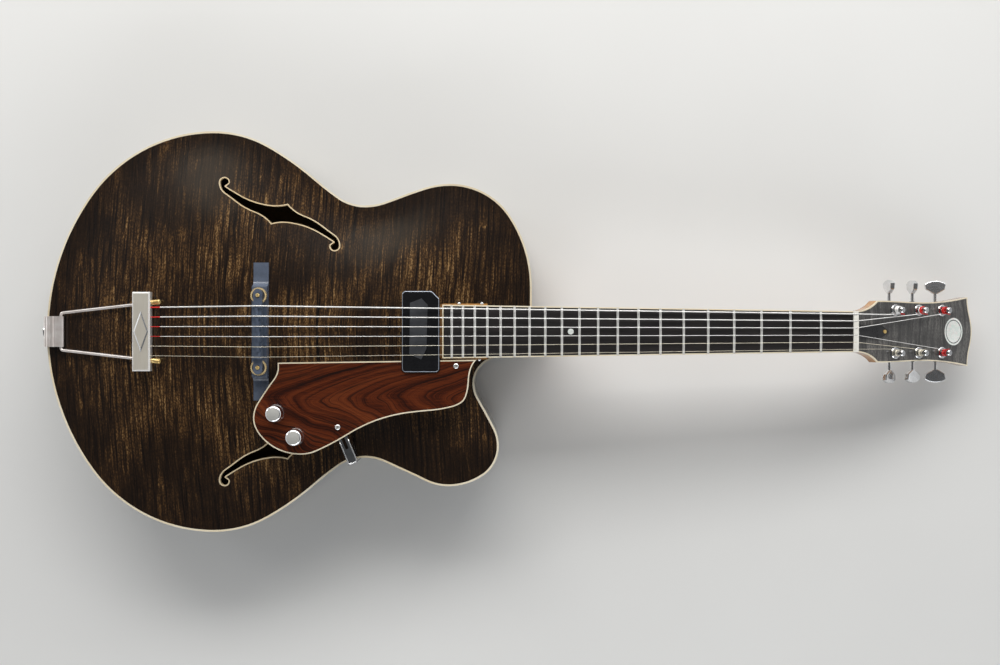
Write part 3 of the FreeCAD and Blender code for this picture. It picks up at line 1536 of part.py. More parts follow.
# The pickguard clears the arch, the controls under it and the foot of the bridge
pot_spots = [place + heading(15 * step) * dim.pot_radius for place in knob_places for step in range(24)]
guard_floor_z = max(top_edge_z + dim.top_arch, highest_top(pot_spots) + dim.pot_height, scoop_z)
guard_low_z = guard_floor_z + dim.guard_clearance
guard_top_z = guard_low_z + dim.guard_thickness


def guard_wire():
    front_x = joint_x + guard_front[-1][0]
    rear_x = bridge_x + guard_rear[0][0]
    stations = [(joint_x + x, y, aim) for x, y, aim in guard_front]
    stations += [(between(front_x, rear_x, share), y, aim) for share, y, aim in guard_middle]
    stations += [(bridge_x + x, y, aim) for x, y, aim in guard_rear]
    start = stations[0][:2]
    end = stations[-1][:2]
    return wire_of(smooth_run(stations) + straight_run([end, (end[0], -dim.guard_inner_half), start]))


# The pickup hangs just past the board's end, clear of the soundboard
pickup_front_x = joint_x + plate_front * math.cos(lean) - dim.pickup_gap
pickup_spots = [Vector(pickup_front_x - along * dim.pickup_width, across * dim.pickup_length / 2, 0)
                for along in (0, 0.5, 1) for across in (-1, -0.5, 0, 0.5, 1)]
pickup_low_z = highest_top(pickup_spots) + dim.pickup_clearance


def pickup_wire(margin):
    front = pickup_front_x + margin
    back = pickup_front_x - dim.pickup_width - margin
    half = dim.pickup_length / 2 + margin
    corner = dim.pickup_corner
    bevel = dim.pickup_bevel
    arcs = [arc_edge(Vector(back + corner, half, 0), Vector(-1, 0, 0), Vector(back, half - corner, 0)),
            arc_edge(Vector(back, -half + corner, 0), Vector(0, -1, 0), Vector(back + corner, -half, 0)),
            arc_edge(Vector(front - corner, -half, 0), Vector(1, 0, 0), Vector(front, -half + corner, 0))]
    lines = straight_run([(back, half - corner), (back, -half + corner)])
    lines += straight_run([(back + corner, -half), (front - corner, -half)])
    lines += straight_run([(front, -half + corner), (front, half - bevel), (front - bevel, half),
                           (back + corner, half)])
    return wire_of(arcs + lines)


# Round-headed screw with a socket
def guard_screw(place):
    top = place + Vector(0, 0, guard_top_z)
    low = place + Vector(0, 0, guard_low_z - dim.guard_screw_reach)
    crown = top + Vector(0, 0, dim.guard_screw_crown)
    head = rod(dim.guard_screw_head, top, crown)
    head = head.makeFillet(dim.guard_screw_edge, [head.Edges[0]])
    socket = rod(dim.guard_socket_radius, crown - Vector(0, 0, dim.guard_socket_depth),
                 crown + Vector(0, 0, overcut))
    return head.fuse(rod(dim.guard_screw_radius, low, top)).cut(socket).removeSplitter()


def build_guard():
    edge = guard_wire()
    inner = offset_wire(edge, -dim.fine_binding)
    notch = prism(pickup_wire(dim.guard_pickup_gap), guard_low_z - overcut, guard_top_z + overcut)
    rise = Vector(0, 0, beyond)
    screw_bore = dim.guard_screw_radius + dim.glue_gap
    knob_bore = dim.knob_shaft_radius + dim.knob_hole_gap
    tools = [notch]
    tools += [rod(screw_bore, place, place + rise) for place in guard_screw_places]
    tools += [rod(knob_bore, place, place + rise) for place in knob_places]
    guard = prism(inner, guard_low_z, guard_top_z)
    for tool in tools:
        guard = guard.cut(tool)
    feature("pickguard", largest(guard))
    feature("pickguard_binding", prism([edge, inner], guard_low_z, guard_top_z).cut(notch).Solids)
    feature("pickguard_screws", [guard_screw(place) for place in guard_screw_places])

    place = guard_screw_places[0]
    half = Vector(dim.guard_block_length / 2, dim.guard_block_width / 2, 0)
    post = block(place - half + Vector(0, 0, top_edge_z), place + half + Vector(0, 0, guard_low_z))
    post = post.cut(arch_slab(top_face, -dim.rim_height, dim.glue_gap))
    screw_low = place + Vector(0, 0, guard_low_z - dim.guard_screw_reach - dim.glue_gap)
    post = post.cut(rod(screw_bore, screw_low, place + rise))
    feature("pickguard_block", post.Solids[0])
    feature("pickguard_bracket", guard_bracket())


# Depth of the outline at a station, on the treble side
def treble_edge_y(x):
    crossings = []
    for p, q in zip(edge_points, edge_points[1:] + edge_points[:1]):
        if (p.x > x) != (q.x > x):
            crossings.append(p.y + (x - p.x) / (q.x - p.x) * (q.y - p.y))
    return min(crossings)


# Slotted strip from under the pickguard out over the rim and down the side
def guard_bracket():
    thick = dim.bracket_thickness
    half = dim.bracket_width / 2
    start = guard_screw_places[1] + Vector(0, 0, guard_low_z - thick - dim.press_gap)
    edge_x = start.x + dim.bracket_lead
    outside = Vector(edge_x, treble_edge_y(edge_x) - dim.bracket_overhang, start.z)
    way = outside - start
    frame = Placement(start, Rotation(Vector(0, 0, 1), math.degrees(math.atan2(way.y, way.x))))
    arm = block(Vector(-dim.bracket_tail, -half, 0), Vector(way.Length, half, thick), frame)
    slot_half = dim.bracket_slot_width / 2
    slot = block(Vector(-slot_half, -slot_half, -overcut),
                 Vector(way.Length - dim.bracket_slot_end, slot_half, thick + overcut), frame)
    drop = start.z - rim_top_z + dim.bracket_leg
    leg = block(Vector(way.Length - thick, -half, -drop), Vector(way.Length, half, thick), frame)
    strip = arm.fuse(leg).removeSplitter().cut(slot)
    strip = strip.cut(prism(offset_wire(outline, dim.sheet_gap), 0, top_edge_z + dim.sheet_gap))
    return largest(strip)


# Floating pickup: a cover shell over two coils and a magnet
def build_pickup():
    top = pickup_low_z + dim.pickup_height
    ceiling = top - dim.pickup_wall
    cover = prism(pickup_wire(0), pickup_low_z, top)
    rim = [edge for edge in cover.Edges if abs(edge.CenterOfMass.z - top) < 1e-6]
    cover = cover.makeFillet(dim.pickup_edge, rim)
    cover = cover.cut(prism(pickup_wire(-dim.pickup_wall), pickup_low_z - overcut, ceiling))
    feature("pickup_cover", cover.Solids[0])
    box = Part.Face(pickup_wire(-dim.pickup_wall - dim.coil_gap)).BoundBox
    magnet_half = dim.magnet_width / 2
    middle = (box.XMin + box.XMax) / 2
    low_y = box.YMin + dim.coil_end_gap
    high_y = box.YMax - dim.pickup_bevel
    floor = pickup_low_z + dim.coil_gap
    spans = ((box.XMin, middle - magnet_half - dim.coil_gap),
             (middle + magnet_half + dim.coil_gap, box.XMax))
    coils = [block(Vector(start, low_y, floor), Vector(end, high_y, ceiling - dim.glue_gap))
             for start, end in spans]
    magnet = block(Vector(middle - magnet_half, low_y, floor),
                   Vector(middle + magnet_half, high_y, floor + dim.magnet_height))
    feature("pickup_coils", coils + [magnet])


# Volume and tone controls on the pickguard
def knob_profile():
    radius = dim.knob_radius
    shaft = dim.knob_shaft_radius
    low = dim.guard_thickness + dim.knob_gap
    top = low + dim.knob_height
    wall = radius - dim.knob_skirt_step
    shoulder = top - dim.knob_crown
    skirt = low + dim.knob_skirt
    dome = arc_edge(Vector(0, top, 0), Vector(1, 0, 0), Vector(wall, shoulder, 0))
    foot = -dim.knob_shaft_depth
    lines = straight_run([(0, top), (0, foot), (shaft, foot), (shaft, low),
                          (radius - dim.knob_edge, low), (radius, low + dim.knob_edge), (radius, skirt),
                          (wall, skirt + dim.knob_skirt_step), (wall, shoulder)])
    return lines + [dome]


def build_controls():
    pots = []
    for name, place in zip(("volume_knob", "tone_knob"), knob_places):
        seat = place + Vector(0, 0, guard_low_z)
        finish(turned(name, knob_profile(), level(seat.x, seat.y, seat.z)), name)
        pot = rod(dim.pot_radius, seat - Vector(0, 0, dim.pot_height), seat)
        bore_low = seat - Vector(0, 0, dim.knob_shaft_depth + dim.running_gap)
        bore = rod(dim.knob_shaft_radius + dim.running_gap / 2, bore_low, seat + Vector(0, 0, overcut))
        pots.append(pot.cut(bore))
    feature("potentiometers", pots)


# Strings: ball end, bridge, nut, then wound round the post in an open helix. The edges before the last
# curve to the post run free.
free_edges = 5


def winding(index):
    along, side = tuner_places()[index if index < 3 else 8 - index]
    gauge = gauges[index]
    radius = dim.post_radius + dim.winding_clear + gauge / 2
    rise = gauge + dim.winding_gap
    low = dim.bushing_height + dim.winding_lift + gauge / 2
    center = Vector(along, side * dim.tuner_offset, low)
    turns = []
    for quarter in range(int(4 * dim.winding_turns) + 1):
        out = heading(90 * side * (quarter - 1))
        round_way = Vector(-out.y, out.x, 0) * side * (radius * math.pi / 2)
        point = center + out * radius + Vector(0, 0, rise * quarter / 4)
        way = (round_way + Vector(0, 0, rise / 4)).normalize()
        turns.append((head_frame.multVec(point), head_frame.Rotation.multVec(way)))
    return turns


# Corner points of a string: tail, saddle, nut and the start of its curve to the post
def string_corners(index):
    nut = string_at_nut(index)
    first, first_way = winding(index)[0]
    approach = first - first_way * dim.string_lead
    run_way = (approach - nut).normalize()
    return [string_at_tail(index), string_at_saddle(index), nut, approach - run_way * dim.string_lead]


def string_edges(index):
    corners = string_corners(index)
    turns = winding(index)
    run_way = (corners[3] - corners[2]).normalize()
    edges = filleted_path(corners, [dim.string_bend, dim.string_bend])
    edges += biarc(corners[3], run_way, *turns[0])
    for start, end in zip(turns, turns[1:]):
        edges += biarc(*start, *end)
    end, end_way = turns[-1]
    edges.append(Part.LineSegment(end, end + end_way * dim.string_stub).toShape())
    return edges


def least_gap(index, edges):
    gauge = gauges[index]
    points = []
    for edge in edges[free_edges:]:
        points += edge.discretize(Number=9)[:-1]
    walked = [0.0]
    for a, b in zip(points, points[1:]):
        walked.append(walked[-1] + (b - a).Length)
    return min((points[i] - points[j]).Length - gauge
               for i in range(len(points)) for j in range(i + 1, len(points))
               if walked[j] - walked[i] > 4 * gauge)


def build_strings():
    made = []
    reach = Vector(0, dim.ball_length / 2, 0)
    for index, gauge in enumerate(gauges):
        edges = string_edges(index)
        string = tube(edges, gauge / 2)
        ball_at = string_at_tail(index)
        ball = rod(dim.ball_radius, ball_at - reach, ball_at + reach)
        made.append(string.fuse(ball).removeSplitter())
        ideal = math.pi * gauge * gauge / 4 * sum(edge.Length for edge in edges)
        print(f"string {index + 1}: gap to itself {least_gap(index, edges):.2f} mm,"
              f" volume share {string.Volume / ideal:.3f}")
    feature("wound_strings", made[:4])
    feature("plain_strings", made[4:])


build_plates()
build_frame()
build_board()
build_nut()
build_neck()
build_riser()
build_mount_plate()
build_head_face()
build_tuners()
build_bridge()
build_tailpiece()
build_guard()
build_pickup()
build_controls()
build_strings()

doc.recompute()
for obj in doc.Objects:
    if "Invalid" in obj.State or "Error" in obj.State:
        raise RuntimeError(f"{obj.Label} failed: {obj.State}")
os.makedirs("parts", exist_ok=True)
for obj in finished:
    shape = obj.Shape
    if shape.isNull() or not shape.isValid() or not shape.Solids:
        raise RuntimeError(f"{obj.Label} has no valid shape")
    shape.exportStep(os.path.join("parts", obj.Label + ".step"))
print(len(finished), "sub-parts written")
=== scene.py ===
import math
import bpy
from mathutils import Matrix, Vector


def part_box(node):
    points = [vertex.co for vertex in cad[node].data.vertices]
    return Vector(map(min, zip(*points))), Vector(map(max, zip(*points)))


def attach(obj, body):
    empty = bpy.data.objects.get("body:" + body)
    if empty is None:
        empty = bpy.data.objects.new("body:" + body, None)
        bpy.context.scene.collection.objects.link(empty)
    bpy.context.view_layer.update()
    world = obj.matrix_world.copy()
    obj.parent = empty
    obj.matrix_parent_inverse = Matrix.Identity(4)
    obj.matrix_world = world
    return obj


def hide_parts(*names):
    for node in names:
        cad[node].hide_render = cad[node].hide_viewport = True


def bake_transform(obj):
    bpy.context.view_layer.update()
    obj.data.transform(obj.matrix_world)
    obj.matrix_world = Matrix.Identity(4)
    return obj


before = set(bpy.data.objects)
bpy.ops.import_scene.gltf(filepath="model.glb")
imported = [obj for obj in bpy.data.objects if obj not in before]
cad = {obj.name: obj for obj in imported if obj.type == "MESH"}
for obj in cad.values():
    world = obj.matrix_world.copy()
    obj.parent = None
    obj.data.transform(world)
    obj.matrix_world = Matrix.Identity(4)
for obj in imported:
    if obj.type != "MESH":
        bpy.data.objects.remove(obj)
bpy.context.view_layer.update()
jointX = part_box("rims")[1].x   # where the neck leaves the body
print("frame loaded with", len(cad), "nodes")


# small helpers for node trees

def addNode(tree, kind, inputs=None, **settings):
    node = tree.nodes.new(kind)
    for key, value in settings.items():
        setattr(node, key, value)
    for key, value in (inputs or {}).items():
        if isinstance(value, bpy.types.NodeSocket):
            tree.links.new(value, node.inputs[key])
        else:
            node.inputs[key].default_value = value
    return node


def calc(tree, operation, a, b=0.0, c=0.0):
    return addNode(tree, "ShaderNodeMath", {0: a, 1: b, 2: c}, operation=operation).outputs[0]


def product(tree, first, *others):
    for value in others:
        first = calc(tree, "MULTIPLY", first, value)
    return first


def weightedSum(tree, *terms):
    total = 0.0
    for value, weight in terms:
        total = calc(tree, "MULTIPLY_ADD", value, weight, total)
    return total


def awayFrom(tree, value, middle):
    return calc(tree, "ABSOLUTE", calc(tree, "SUBTRACT", value, middle))


def planeReach(tree, u, v):   # distance from the middle, in a plane
    return calc(tree, "SQRT", calc(tree, "ADD", product(tree, u, u), product(tree, v, v)))


def remap(tree, value, low, high, toLow=0.0, toHigh=1.0):
    limits = {"Value": value, "From Min": low, "From Max": high, "To Min": toLow, "To Max": toHigh}
    return addNode(tree, "ShaderNodeMapRange", limits, interpolation_type="SMOOTHSTEP").outputs[0]


def opaque(colour):
    return colour if isinstance(colour, bpy.types.NodeSocket) else (*colour, 1.0)


def blendColour(tree, factor, a, b, kind="MIX"):
    inputs = {0: factor, 6: opaque(a), 7: opaque(b)}
    return addNode(tree, "ShaderNodeMix", inputs, data_type="RGBA", blend_type=kind).outputs[2]


def colourRamp(tree, factor, stops):
    node = addNode(tree, "ShaderNodeValToRGB", {"Fac": factor})
    band = node.color_ramp
    while len(band.elements) < len(stops):
        band.elements.new(0.5)
    for element, (place, colour) in zip(band.elements, stops):
        element.position = place
        element.color = opaque(colour)
    return node.outputs["Color"]


def noise(tree, vector, scale, detail=3.0, roughness=0.55, distortion=0.0):
    stretched = addNode(tree, "ShaderNodeMapping", {"Vector": vector, "Scale": scale}).outputs[0]
    inputs = {"Vector": stretched, "Scale": 1.0, "Detail": detail, "Roughness": roughness, "Distortion": distortion}
    return addNode(tree, "ShaderNodeTexNoise", inputs).outputs[0]


def layer(tree, vector, look):   # noise cut to a range; look is scale, detail and the range's limits
    scale, detail, *limits = look
    return remap(tree, noise(tree, vector, scale, detail), *limits)


def splitVector(tree, vector):
    return addNode(tree, "ShaderNodeSeparateXYZ", {0: vector}).outputs[:3]


def joinVector(tree, x, y, z):
    return addNode(tree, "ShaderNodeCombineXYZ", {0: x, 1: y, 2: z}).outputs[0]


def facingUp(tree):
    return splitVector(tree, addNode(tree, "ShaderNodeNewGeometry").outputs["Normal"])[2]


def makeGroup(name, inputs, outputs):
    tree = bpy.data.node_groups.new(name, "ShaderNodeTree")
    tree.interface.new_socket("Place", in_out="INPUT", socket_type="NodeSocketVector")
    for label, default in inputs.items():
        kind = "NodeSocketVector" if isinstance(default, tuple) else "NodeSocketFloat"
        tree.interface.new_socket(label, in_out="INPUT", socket_type=kind).default_value = default
    for label in outputs:
        tree.interface.new_socket(label, in_out="OUTPUT", socket_type="NodeSocketFloat")
    return tree, tree.nodes.new("NodeGroupInput").outputs, tree.nodes.new("NodeGroupOutput").inputs


def useGroup(tree, group, place, **inputs):
    return addNode(tree, "ShaderNodeGroup", {"Place": place, **inputs}, node_tree=group).outputs


def newMaterial(name, **settings):
    material = bpy.data.materials.new(name)
    material.use_nodes = True
    tree = material.node_tree
    shader = tree.nodes["Principled BSDF"]
    for key, value in settings.items():
        shader.inputs[key.replace("_", " ")].default_value = value
    place = addNode(tree, "ShaderNodeTexCoord").outputs["Object"]
    return material, tree, shader, place


def setBump(tree, shader, height, distance, strength):
    bump = addNode(tree, "ShaderNodeBump", {"Height": height, "Distance": distance, "Strength": strength})
    tree.links.new(bump.outputs[0], shader.inputs["Normal"])


def paint(tree, shader, **sockets):
    for key, socket in sockets.items():
        tree.links.new(socket, shader.inputs[key.replace("_", " ")])


# curly maple figure: streaks of three widths and a few bright lines, broken into patches and flecks
flameLook = {
    "drift": (14, 20, 14), "middle": ((300, 13, 13), 2.0, 0.41, 0.65), "fine": ((620, 20, 20), 2.0, 0.40, 0.64),
    "wide": ((95, 7, 7), 2.0, 0.36, 0.66), "weights": {"middle": 0.34, "fine": 0.44, "wide": 0.09},
    "lines": (58, 5.5, 5.5), "lineHalf": 0.022, "lineWeight": 0.55, "breaks": ((120, 30, 30), 3.0, 0.45, 0.62),
    "patchRough": 0.6, "patchRange": (0.33, 0.66, 0.32, 1.0),
    "flecks": ((1000, 430, 430), 2.0, 0.32, 0.70, 0.42, 1.36), "pores": ((330, 950, 950), 2.0, 0.36, 0.66)}


def buildFlameGroup():
    tree, given, result = makeGroup(
        "flameFigure", {"Warp": 0.004, "Patch": 9.0, "Strength": 1.0}, ["Figure", "Pores"])
    place = given["Place"]
    sway = calc(tree, "SUBTRACT", noise(tree, place, flameLook["drift"], 2.0), 0.5)
    x, y, z = splitVector(tree, place)
    warped = joinVector(tree, calc(tree, "ADD", x, product(tree, sway, given["Warp"])), y, z)
    streaks = [(layer(tree, warped, flameLook[width]), weight) for width, weight in flameLook["weights"].items()]
    ridge = awayFrom(tree, noise(tree, warped, flameLook["lines"], 1.0), 0.5)
    lines = remap(tree, ridge, 0.0, flameLook["lineHalf"], 1.0, 0.0)
    broken = layer(tree, warped, flameLook["breaks"])
    streaks.append((product(tree, lines, broken), flameLook["lineWeight"]))
    patchScale = joinVector(tree, given["Patch"], given["Patch"], given["Patch"])
    patch = noise(tree, place, patchScale, 4.0, flameLook["patchRough"])
    patch = remap(tree, patch, *flameLook["patchRange"])
    flecks = layer(tree, place, flameLook["flecks"])
    figure = product(tree, weightedSum(tree, *streaks), patch, flecks, given["Strength"])
    tree.links.new(figure, result["Figure"])
    tree.links.new(layer(tree, place, flameLook["pores"]), result["Pores"])
    return tree


# long pores and slow colour drift along the grain of a plain wood
grainLook = {"poreRough": 0.62, "poreRange": (0.40, 0.68), "bandAlong": 0.3, "bandAcross": 0.16,
             "bandRange": (0.32, 0.70), "drift": ((11, 11, 11), 2.0, 0.3, 0.7)}


def buildGrainGroup():
    tree, given, result = makeGroup("plainGrain", {"Along": 24.0, "Across": 900.0}, ["Pores", "Bands", "Drift"])
    place = given["Place"]
    poreScale = joinVector(tree, given["Along"], given["Across"], given["Across"])
    longer = product(tree, given["Along"], grainLook["bandAlong"])
    wider = product(tree, given["Across"], grainLook["bandAcross"])
    pores = noise(tree, place, poreScale, 4.0, grainLook["poreRough"])
    bands = noise(tree, place, joinVector(tree, longer, wider, wider))
    tree.links.new(remap(tree, pores, *grainLook["poreRange"]), result["Pores"])
    tree.links.new(remap(tree, bands, *grainLook["bandRange"]), result["Bands"])
    tree.links.new(layer(tree, place, grainLook["drift"]), result["Drift"])
    return tree


# handling marks on metal and plastic: fine hairlines plus faint cloudy smears
markLook = {"lineRough": 0.6, "smears": ((90, 90, 90), 3.0, 0.35, 0.68), "share": 0.5}


def buildHairlineGroup():
    tree, given, result = makeGroup("hairlines", {"Stretch": (900.0, 40.0, 900.0), "Least": 0.06, "Most": 0.18},
                                    ["Roughness", "Lines", "Smears"])
    lines = noise(tree, given["Place"], given["Stretch"], 3.0, markLook["lineRough"])
    smears = layer(tree, given["Place"], markLook["smears"])
    both = weightedSum(tree, (smears, markLook["share"]), (lines, markLook["share"]))
    span = calc(tree, "SUBTRACT", given["Most"], given["Least"])
    tree.links.new(calc(tree, "MULTIPLY_ADD", both, span, given["Least"]), result["Roughness"])
    tree.links.new(lines, result["Lines"])
    tree.links.new(smears, result["Smears"])
    return tree


flameGroup = buildFlameGroup()
grainGroup = buildGrainGroup()
hairlineGroup = buildHairlineGroup()
print("shared effects built")


# pores roughen a wood and dent it a little; hairlines do the same to metal and plastic
surfaceLook = {"poreDepth": 0.00002, "poreStrength": 0.25, "lineDepth": 0.000004, "lineStrength": 0.5}


def porousSurface(tree, shader, pores, rough, depth=surfaceLook["poreDepth"], strength=surfaceLook["poreStrength"]):
    paint(tree, shader, Roughness=remap(tree, pores, 0.0, 1.0, *rough))
    setBump(tree, shader, pores, depth, strength)


def handledSurface(tree, shader, place, stretch, rough, depth=surfaceLook["lineDepth"]):
    marks = useGroup(tree, hairlineGroup, place, Stretch=stretch, Least=rough[0], Most=rough[1])
    paint(tree, shader, Roughness=marks["Roughness"])
    if depth:
        setBump(tree, shader, marks["Lines"], depth, surfaceLook["lineStrength"])
    return marks


# lacquered maple of the body; the burst gets darker towards the edge of both bouts
lacquer = {
    "ramp": ((0.0, (0.0060, 0.0034, 0.0023)), (0.24, (0.027, 0.0136, 0.0060)), (0.62, (0.114, 0.058, 0.0200)),
             (1.0, (0.300, 0.180, 0.074))),
    "slant": -0.045, "halves": 0.004, "flame": {"Warp": 0.004, "Patch": 11.0}, "rough": (0.30, 0.42),
    "lowerBout": (jointX - 0.3254, 0.205, 0.222), "upperBout": (jointX - 0.0904, 0.110, 0.172),
    "burst": (0.50, 1.02, 1.0, 0.44), "bare": (0.400, 0.260, 0.125), "bareDeep": (0.320, 0.208, 0.100),
    "bareFrom": (0.3, 0.6)}


def boutReach(tree, x, y, bout):
    middle, along, across = bout
    u = calc(tree, "DIVIDE", calc(tree, "SUBTRACT", x, middle), along)
    return planeReach(tree, u, calc(tree, "DIVIDE", y, across))


def lacqueredMaple(name, glow, upright=False, inside=0):
    material, tree, shader, place = newMaterial(name, Coat_Weight=1.0, Coat_Roughness=0.13, Coat_IOR=1.5,
                                                Specular_IOR_Level=0.12)
    x, y, z = splitVector(tree, place)
    if upright:   # the ribs: the figure stands up and follows the bend
        figurePlace = joinVector(tree, calc(tree, "ADD", x, y), z, calc(tree, "SUBTRACT", x, y))
    else:         # the plates: two mirrored halves joined on the centre line
        away = calc(tree, "ABSOLUTE", y)
        figurePlace = joinVector(tree, calc(tree, "MULTIPLY_ADD", away, lacquer["slant"], x), away,
                                 product(tree, calc(tree, "SIGN", y), lacquer["halves"]))
    flame = useGroup(tree, flameGroup, figurePlace, Strength=glow, **lacquer["flame"])
    reach = calc(tree, "MINIMUM", boutReach(tree, x, y, lacquer["lowerBout"]),
                 boutReach(tree, x, y, lacquer["upperBout"]))
    shade = product(tree, flame["Figure"], remap(tree, reach, *lacquer["burst"]))
    colour = colourRamp(tree, shade, lacquer["ramp"])
    if inside:   # the inner face of a plate is bare wood, without lacquer
        bare = remap(tree, product(tree, facingUp(tree), inside), *lacquer["bareFrom"])
        raw = blendColour(tree, flame["Pores"], lacquer["bare"], lacquer["bareDeep"])
        colour = blendColour(tree, bare, colour, raw)
        paint(tree, shader, Coat_Weight=remap(tree, bare, 0.0, 1.0, 1.0, 0.0))
    paint(tree, shader, Base_Color=colour)
    porousSurface(tree, shader, flame["Pores"], lacquer["rough"])
    return material


# cream binding with the drawn lines of the sheet it was cut from, darker and yellower round the f-holes
bindingLook = {"creamBinding": {"pale": (0.86, 0.79, 0.63), "deep": (0.70, 0.57, 0.36)},
               "agedCream": {"pale": (0.74, 0.62, 0.42), "deep": (0.52, 0.36, 0.17)}}
bindingSheet = {"grain": {"Along": 60.0, "Across": 420.0}, "drift": 0.55, "lines": 0.3, "rough": (0.26, 0.40),
                "strength": 0.2}


def creamBinding(name, pale, deep):
    material, tree, shader, place = newMaterial(name, Coat_Weight=0.6, Coat_Roughness=0.08)
    grain = useGroup(tree, grainGroup, place, **bindingSheet["grain"])
    tint = weightedSum(tree, (grain["Pores"], bindingSheet["lines"]), (grain["Drift"], bindingSheet["drift"]))
    paint(tree, shader, Base_Color=blendColour(tree, tint, pale, deep))
    porousSurface(tree, shader, grain["Pores"], bindingSheet["rough"], strength=bindingSheet["strength"])
    return material


# plain woods and bone: two shades, the scale of the grain, and how smooth the piece was left
woodLook = {
    "barSpruce": {"dark": (0.50, 0.34, 0.17), "light": (0.74, 0.58, 0.36), "along": 6.0, "across": 900.0,
                  "rough": (0.72, 0.58)},
    "boardEbony": {"dark": (0.0085, 0.0075, 0.0075), "light": (0.030, 0.026, 0.026), "along": 22.0, "across": 900.0,
                   "rough": (0.48, 0.34)},
    # the bridge is black ebony; its blue-grey shades are a painted sheen, reflected light coloured into the wood
    "bridgeEbony": {"dark": (0.050, 0.063, 0.092), "light": (0.118, 0.144, 0.200), "along": 120.0, "across": 120.0,
                    "rough": (0.40, 0.26), "coat": 0.4},
    "bone": {"dark": (0.78, 0.76, 0.69), "light": (0.90, 0.88, 0.82), "along": 160.0, "across": 420.0,
             "rough": (0.44, 0.30), "coat": 0.3}}
woodGrain = {"Drift": 0.15, "Pores": 0.35, "Bands": 0.5}   # how much each part of the grain tells


def plainWood(name, dark, light, along, across, rough, coat=0.0):
    material, tree, shader, place = newMaterial(name, Coat_Weight=coat, Coat_Roughness=0.12, Specular_IOR_Level=0.4)
    grain = useGroup(tree, grainGroup, place, Along=along, Across=across)
    tone = weightedSum(tree, *[(grain[kind], weight) for kind, weight in woodGrain.items()])
    paint(tree, shader, Base_Color=blendColour(tree, tone, dark, light))
    porousSurface(tree, shader, grain["Pores"], rough, depth=0.00003, strength=0.35)
    return material


# amber neck with a quiet flame across it
neckLook = {"deep": (0.27, 0.115, 0.030), "light": (0.60, 0.330, 0.115), "figure": 0.55, "bands": 0.45,
            "flame": {"Warp": 0.010, "Patch": 16.0, "Strength": 0.9}, "grain": {"Along": 18.0, "Across": 520.0},
            "rough": (0.30, 0.42)}


def amberMaple():
    material, tree, shader, place = newMaterial("amberMaple", Coat_Weight=0.9, Coat_Roughness=0.10,
                                                Specular_IOR_Level=0.4)
    flame = useGroup(tree, flameGroup, place, **neckLook["flame"])
    grain = useGroup(tree, grainGroup, place, **neckLook["grain"])
    tone = weightedSum(tree, (grain["Bands"], neckLook["bands"]), (flame["Figure"], neckLook["figure"]))
    paint(tree, shader, Base_Color=blendColour(tree, tone, neckLook["deep"], neckLook["light"]))
    porousSurface(tree, shader, grain["Pores"], neckLook["rough"])
    return material


# rosewood with nested arched growth lines that point to the tail
rosewood = {
    "ramp": ((0.42, (0.0085, 0.0034, 0.0024)), (0.52, (0.034, 0.0064, 0.0022)), (0.62, (0.094, 0.0185, 0.0052)),
             (0.80, (0.165, 0.040, 0.0110))),
    "line": (0.0085, 0.0034, 0.0024), "lineHalf": 0.048, "lineShare": 0.80, "axis": -0.071, "archUp": 15.0,
    "archDown": 9.0, "archPower": 1.5, "turn": 0.01, "density": 62.0, "drift": 7.0, "sway": ((20, 30, 20), 2.0, 0.45),
    "swaySide": 0.016, "swayAlong": 0.030, "rings": ((1, 1, 1), 3.0, 0.6), "hairs": ((18, 4, 1), 3.0, 0.65),
    "pores": ((60, 700, 300), 3.0, 0.65), "lines": ((1.7, 1.2, 1), 1.0), "ringShare": 0.54, "hairShare": 0.44,
    "poreShare": 0.22, "poreDepth": 0.00003, "rough": (0.3, 0.7, 0.42, 0.28)}


def archedRosewood():
    material, tree, shader, place = newMaterial("archedRosewood", Coat_Weight=0.6, Coat_Roughness=0.14,
                                                Specular_IOR_Level=0.15)
    x, y = splitVector(tree, place)[:2]
    sway = calc(tree, "SUBTRACT", noise(tree, place, *rosewood["sway"]), 0.5)
    side = calc(tree, "MULTIPLY_ADD", sway, rosewood["swaySide"], calc(tree, "SUBTRACT", y, rosewood["axis"]))
    spread = calc(tree, "POWER", calc(tree, "ABSOLUTE", side), rosewood["archPower"])
    pull = remap(tree, side, -rosewood["turn"], rosewood["turn"], rosewood["archDown"], rosewood["archUp"])
    growth = calc(tree, "SUBTRACT", calc(tree, "MULTIPLY_ADD", sway, rosewood["swayAlong"], x),
                  product(tree, spread, pull))
    ringPlace = joinVector(tree, product(tree, growth, rosewood["density"]), product(tree, y, rosewood["drift"]), 0.0)
    rings = noise(tree, ringPlace, *rosewood["rings"])
    hairs = noise(tree, ringPlace, *rosewood["hairs"])
    pores = noise(tree, place, *rosewood["pores"])
    tone = weightedSum(tree, (hairs, rosewood["hairShare"]), (rings, rosewood["ringShare"]),
                       (pores, rosewood["poreShare"]))
    ridge = awayFrom(tree, noise(tree, ringPlace, *rosewood["lines"]), 0.5)
    edges = remap(tree, ridge, 0.0, rosewood["lineHalf"], 1.0, 0.0)
    wood = colourRamp(tree, tone, rosewood["ramp"])
    marked = blendColour(tree, product(tree, edges, rosewood["lineShare"]), wood, rosewood["line"])
    paint(tree, shader, Base_Color=marked, Roughness=remap(tree, pores, *rosewood["rough"]))
    setBump(tree, shader, pores, rosewood["poreDepth"], surfaceLook["poreStrength"])
    return material


# figured dark veneer on the headstock, streaked across
veneerLook = {"ramp": ((0.0, (0.042, 0.041, 0.040)), (0.2, (0.083, 0.080, 0.077)), (0.7, (0.170, 0.163, 0.152))),
              "flame": {"Warp": 0.02, "Patch": 40.0, "Strength": 0.95}, "rough": (0.32, 0.46)}


